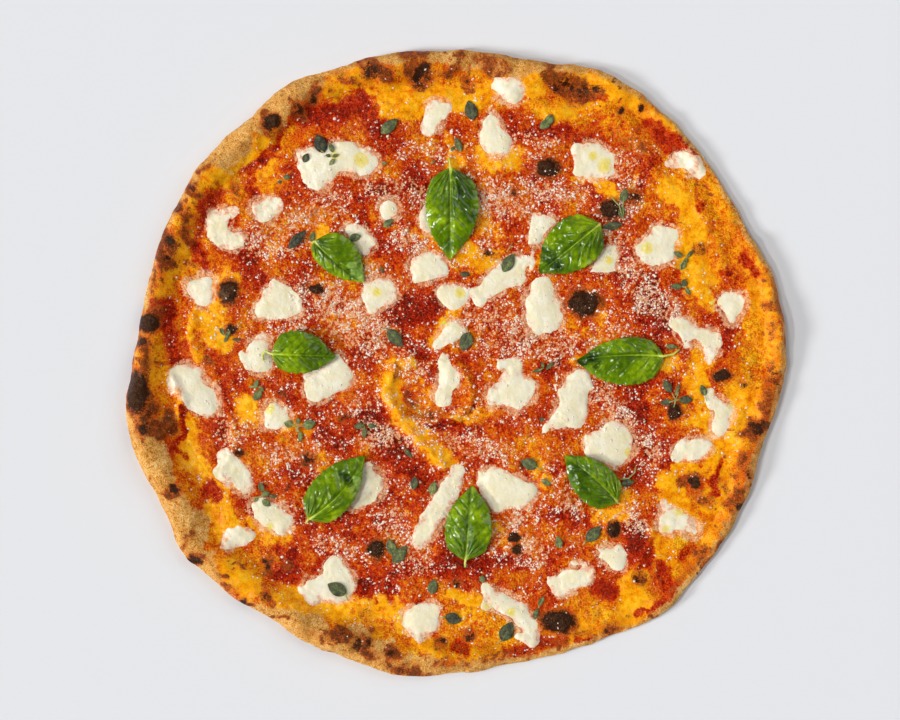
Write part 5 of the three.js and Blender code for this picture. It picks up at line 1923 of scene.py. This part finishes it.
@dataclass
class Oregano:
    """The herb leaflets and their stems: little oval blades, cupped and lying loosely on the top."""

    below: Surface
    cells: tuple[int, int] = (10, 16)
    thickness: float = 0.3
    pairs: float = 5.0
    seed: int = 5

    def build(self) -> Piece:
        """Makes all leaflets as one piece.

        Returns:
            The piece.
        """
        draw = np.random.default_rng(self.seed)
        shape = bmesh.new()
        for row in LEAFLETS:
            leaflet = self._leaflet(*row, curl=draw.uniform(-0.3, 1.0), tilt=draw.uniform(-0.12, 0.12))
            shape.from_mesh(leaflet)
            bpy.data.meshes.remove(leaflet)
        bmesh.ops.remove_doubles(shape, verts=shape.verts, dist=0.01)
        thicken(shape, self.thickness)
        for radius, *points in STEMLETS:
            flat = np.array(points, float)
            add_tube(shape, np.column_stack([flat, self.below.height(flat) + 0.6 + radius]), radius)
        return new_piece(shape, "baked_oregano", HERB_LEAF, Slot.HERB)

    def _leaflet(
        self, x: float, y: float, length: float, width: float, degrees: float, dark: float, curl: float,
        tilt: float,
    ) -> Mesh:
        """Makes one leaflet's upper side.

        Args:
            x: its middle.
            y: its middle.
            length: from its base to its tip.
            width: across its widest part.
            degrees: which way its tip points, from X.
            dark: how dark it baked.
            curl: how far its sides curl down.
            tilt: how steeply it lies across its length.

        Returns:
            The sheet, painted.
        """
        mesh, s, t = leaf_grid(self.cells)
        half = 0.5 * width * np.sin(np.clip(t, 0.0, 1.0) ** 0.85 * math.pi) ** 0.75
        turn = math.radians(degrees)
        way, side = np.array([math.cos(turn), math.sin(turn)]), np.array([-math.sin(turn), math.cos(turn)])
        xy = np.array([x, y]) + way * (length * (t - 0.5))[:, None] + side * (s * half)[:, None]
        rib = rib_pattern(t, s, length, half, self.pairs)
        height = 0.9 + 0.9 * np.sin(t * math.pi) * (length / 10) - curl * 0.5 * s**2 + tilt * s * half
        height += 0.25 * (1.0 - rib) * (1.0 - s**2) - 0.25 * bump(s * half, 0.4)
        below = self.below.height(xy)
        rest = float(np.mean(below))
        write_places(mesh, np.column_stack([xy, laid_over(rest + height - 0.4, below + 0.5, 0.3)]))
        midrib = bump(s * half, 0.3) * (1.0 - t)
        paint(mesh, {"dark_and_painted_shade": np.full(len(t), dark), "vein": np.maximum(midrib, 0.3 * rib)})
        return mesh


@dataclass(frozen=True)
class Shred:
    """A kind of grated cheese."""

    name: str
    sides: int       # how many corners go round it
    count: int       # the most bits that are laid
    small: float     # half the length of the smallest
    large: float     # and of the largest
    seed: int


SHREDS = (
    Shred("grated_cheese_flakes", 4, 19000, 0.32, 1.3, 9),
    Shred("grated_cheese_crumbs", 3, 46000, 0.16, 0.5, 10),
)


@dataclass
class GratedCheese:
    """Thousands of bits of grated hard cheese of one kind, thick in drifts and thin between them."""

    bake: Bake
    below: Surface
    shred: Shred
    reach: float = 148.0        # how far from the middle they fall
    tries: int = 9              # places drawn for each bit
    filling: float = 0.22       # about the share of the places that the chances add up to

    def build(self) -> Piece:
        """Makes all its bits as one piece.

        Returns:
            The piece.
        """
        draw = np.random.default_rng(self.shred.seed)
        xy = self._places(draw)
        corners, faces = self._bit()
        count = len(xy)
        half = self.shred.small + (self.shred.large - self.shred.small) * draw.beta(1.2, 3.4, count)
        sides = [np.ones(count), draw.uniform(0.45, 0.9, count), draw.uniform(0.35, 0.6, count)]
        scale = half[:, None] * np.column_stack(sides)
        local = corners[None] * scale[:, None] * draw.uniform(0.65, 1.35, (count, len(corners), 1))
        turn = draw.uniform(0.0, math.tau, count)
        cos, sin = np.cos(turn)[:, None], np.sin(turn)[:, None]
        lean = draw.normal(0.0, 0.35, (count, 1))
        x, y, z = np.moveaxis(local, 2, 0)
        centres = np.column_stack([xy, self.below.height(xy)])
        placed = np.stack([x * cos - y * sin, x * sin + y * cos, z + x * lean], axis=2) + centres[:, None]
        mesh = bpy.data.meshes.new("bits")
        tiled = faces[None] + (np.arange(count) * len(corners))[:, None, None]
        mesh.from_pydata(placed.reshape(-1, 3), [], tiled.reshape(-1, faces.shape[1]))
        soak = draw.beta(1.0, 2.2, count) * (1.0 - 0.8 * self.bake.milk(xy))
        paint(mesh, {"soak": np.repeat(soak, len(corners))})
        return new_piece(to_bmesh(mesh), self.shred.name, GRATED, Slot.GRATED)

    def _bit(self) -> tuple[Array, Array]:
        """Corners and faces of one bit, about 1 in half its length."""
        bit = bmesh.new()
        if self.shred.sides == 3:
            bmesh.ops.create_cone(bit, cap_ends=True, segments=3, radius1=1.0, radius2=0.0, depth=1.3)
        else:
            bmesh.ops.create_uvsphere(bit, u_segments=self.shred.sides, v_segments=2, radius=1.0)
        bmesh.ops.remove_doubles(bit, verts=bit.verts, dist=0.01)
        corners = np.array([vert.co for vert in bit.verts])
        faces = np.array([[vert.index for vert in face.verts] for face in bit.faces])
        bit.free()
        return corners, faces

    def _places(self, draw: np.random.Generator) -> Array:
        """Draws places, most of them in the drifts and in small clumps."""
        tries = self.shred.count * self.tries
        far = self.reach * np.sqrt(draw.uniform(0.0, 1.0, tries))
        xy = around(draw.uniform(0.0, math.tau, tries), far)
        drift = coverage(Warp.DRIFTS.move(xy), DRIFTS)
        inner = 1.0 - smooth_step(95.0, 140.0, far)
        clump = np.clip(0.45 + 1.1 * Noise.CLUMPS.at(xy), 0.04, 1.0) ** 1.4
        clear = 1.0 - 0.7 * smooth_step(0.2, 0.5, self.bake.burns(xy)[0])
        chance = (0.06 + 0.24 * inner + 0.7 * drift) * clump * clear
        chance *= 1.0 - 0.85 * self.bake.milk(xy)
        kept = xy[draw.uniform(0.0, 1.0, tries) < chance * self.shred.count / (self.filling * tries)]
        return kept[: self.shred.count]


@dataclass
class OilDrops:
    """Shallow drops of yellow fat that lie on the mozzarella."""

    below: Surface
    cells: tuple[int, int] = (28, 6)   # round a drop, and out from its middle
    height: float = 0.11
    dip: float = 0.06                  # how far its border lies in the cheese
    share: float = 0.27                # how much of its spot's reach it fills
    thickness: float = 0.3

    def build(self) -> Piece:
        """Makes all drops as one piece.

        Returns:
            The piece.
        """
        shape = bmesh.new()
        for spot in OIL_SPOTS:
            mesh = mesh_grid(*self.cells)
            flat = read_places(mesh)
            turn, out = flat[:, 0] * math.tau, flat[:, 1]
            ragged = SoftNoise(int(abs(spot.x0) * 7) + 300, 1.8, 3).at(around(turn, 2.0) + spot.x0)
            edge = self.share * spot.reach * (1.0 + 1.3 * ragged)
            xy = spot.ends[0] + around(turn, edge * out)
            rise = self.height * (1.0 - out**2) + self.dip * (Noise.DROP_TOP.at(xy) * out - 1.0)
            write_places(mesh, np.column_stack([xy, self.below.height(xy) + rise]))
            shape.from_mesh(mesh)
            bpy.data.meshes.remove(mesh)
        bmesh.ops.remove_doubles(shape, verts=shape.verts, dist=0.01)
        thicken(shape, self.thickness)
        return new_piece(shape, "olive_oil_drops", OIL_FILM, Slot.OIL)


# ---- Studio ------------------------------------------------------------------------------------------------


@dataclass(frozen=True)
class Sun:
    """A far lamp, which lights the whole floor evenly."""

    name: str
    azimuth: float      # degrees from X to where it stands
    elevation: float    # degrees over the floor
    spread: float       # degrees that it fills, which softens its shadows
    strength: float

    def build(self) -> None:
        """Adds the lamp."""
        a, e = math.radians(self.azimuth), math.radians(self.elevation)
        away = Vector((math.cos(a) * math.cos(e), math.sin(a) * math.cos(e), math.sin(e)))
        lamp = bpy.data.lights.new(self.name, "SUN")
        lamp.angle = math.radians(self.spread)
        lamp.energy = self.strength
        light = bpy.data.objects.new(self.name, lamp)
        light.rotation_euler = away.to_track_quat("Z", "Y").to_euler()
        bpy.context.scene.collection.objects.link(light)


@dataclass
class Studio:
    """A pale floor, soft light from the left and a camera straight above."""

    focal: float = 85.0
    sensor: float = 36.0
    view_width: float = 450.0            # what the view takes in from side to side
    view_middle: tuple[float, float] = (-3.5, 2.0)
    view_height: float = 4.0             # how high over the floor it takes that in
    floor_size: float = 3.0              # metres from the floor's middle to a side
    floor_drop: float = 0.05             # how far it lies below the pizza
    sky: float = 0.22          # strength of the light from the sides
    ceiling: float = 0.04      # and from overhead
    key: Sun = Sun("key", 196.0, 27.0, 13.0, 2.2)
    spark: Sun = Sun("spark", 200.0, 48.0, 4.0, 0.8)     # a small lamp beside the key, for the glints
    top: Sun = Sun("top", 165.0, 62.0, 12.0, 0.72)       # a wider lamp overhead, which makes wet things shine
    fill: Sun = Sun("fill", 30.0, 42.0, 45.0, 0.85)      # from the right, into the shadows

    def build(self) -> None:
        """Makes the floor, the lights and the camera."""
        scene = bpy.context.scene
        scene.view_settings.view_transform = "Standard"
        shape = bmesh.new()
        bmesh.ops.create_grid(shape, x_segments=2, y_segments=2, size=self.floor_size)
        bmesh.ops.translate(shape, vec=(0.0, 0.0, -self.floor_drop * MM), verts=shape.verts)
        mesh = bpy.data.meshes.new("floor")
        shape.to_mesh(mesh)
        shape.free()
        mesh.materials.append(TABLE_TOP.material())
        floor = bpy.data.objects.new("floor", mesh)
        scene.collection.objects.link(floor)
        scene.world = self._sky()
        for sun in (self.key, self.spark, self.top, self.fill):
            sun.build()
        self._camera(scene)

    def _sky(self) -> bpy.types.World:
        """Makes soft light all round, dim overhead so that wet surfaces keep their own colour."""
        world = bpy.data.worlds.new("studio")
        world.use_nodes = True
        tree = world.node_tree
        tree.nodes.clear()
        way = add_node(tree, "ShaderNodeTexCoord", out="Generated")
        rise = add_node(tree, "ShaderNodeSeparateXYZ", {0: way}, out=2)
        reach = {"Value": rise, "From Min": 0.7, "From Max": 0.95, "To Min": self.sky, "To Max": self.ceiling}
        strength = add_node(tree, "ShaderNodeMapRange", reach, interpolation_type="SMOOTHSTEP")
        light = add_node(tree, "ShaderNodeBackground", {"Color": linear("#f8f8f8"), "Strength": strength})
        add_node(tree, "ShaderNodeOutputWorld", {"Surface": light})
        return world

    def _camera(self, scene: bpy.types.Scene) -> None:
        """Adds the camera, which looks straight down."""
        lens = bpy.data.cameras.new("camera")
        lens.lens = self.focal
        lens.sensor_width = self.sensor
        camera = bpy.data.objects.new("camera", lens)
        height = self.view_width * self.focal / self.sensor + self.view_height
        camera.location = (self.view_middle[0] * MM, self.view_middle[1] * MM, height * MM)
        scene.collection.objects.link(camera)
        scene.camera = camera


def main() -> None:
    """Builds the pizza piece by piece, then its studio."""
    logging.basicConfig(level=logging.INFO, format="%(name)s: %(message)s")
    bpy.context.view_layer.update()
    bake = Bake(DoughForm())
    puddles = {number: Puddle(f"mozzarella_{number:02d}") for number in PIECES}
    tongues = [tongue.ends for tongue in TONGUES]
    bake.know_cheese(np.vstack([*(puddle.covered() for puddle in puddles.values()), *tongues]))
    pieces = [Crust(bake).build(), Sauce(bake).build()]
    pieces += [Mozzarella(number, bake, puddle).build() for number, puddle in puddles.items()]
    top = Surface(pieces)
    OilDrops(top).build()
    for shred in SHREDS:
        GratedCheese(bake, top, shred).build()
    leaves = [BasilLeaf(number, look, top).build() for number, look in LEAF_LOOKS.items()]
    Oregano(Surface([*pieces, *leaves])).build()
    Studio().build()


if __name__ == "__main__":
    main()
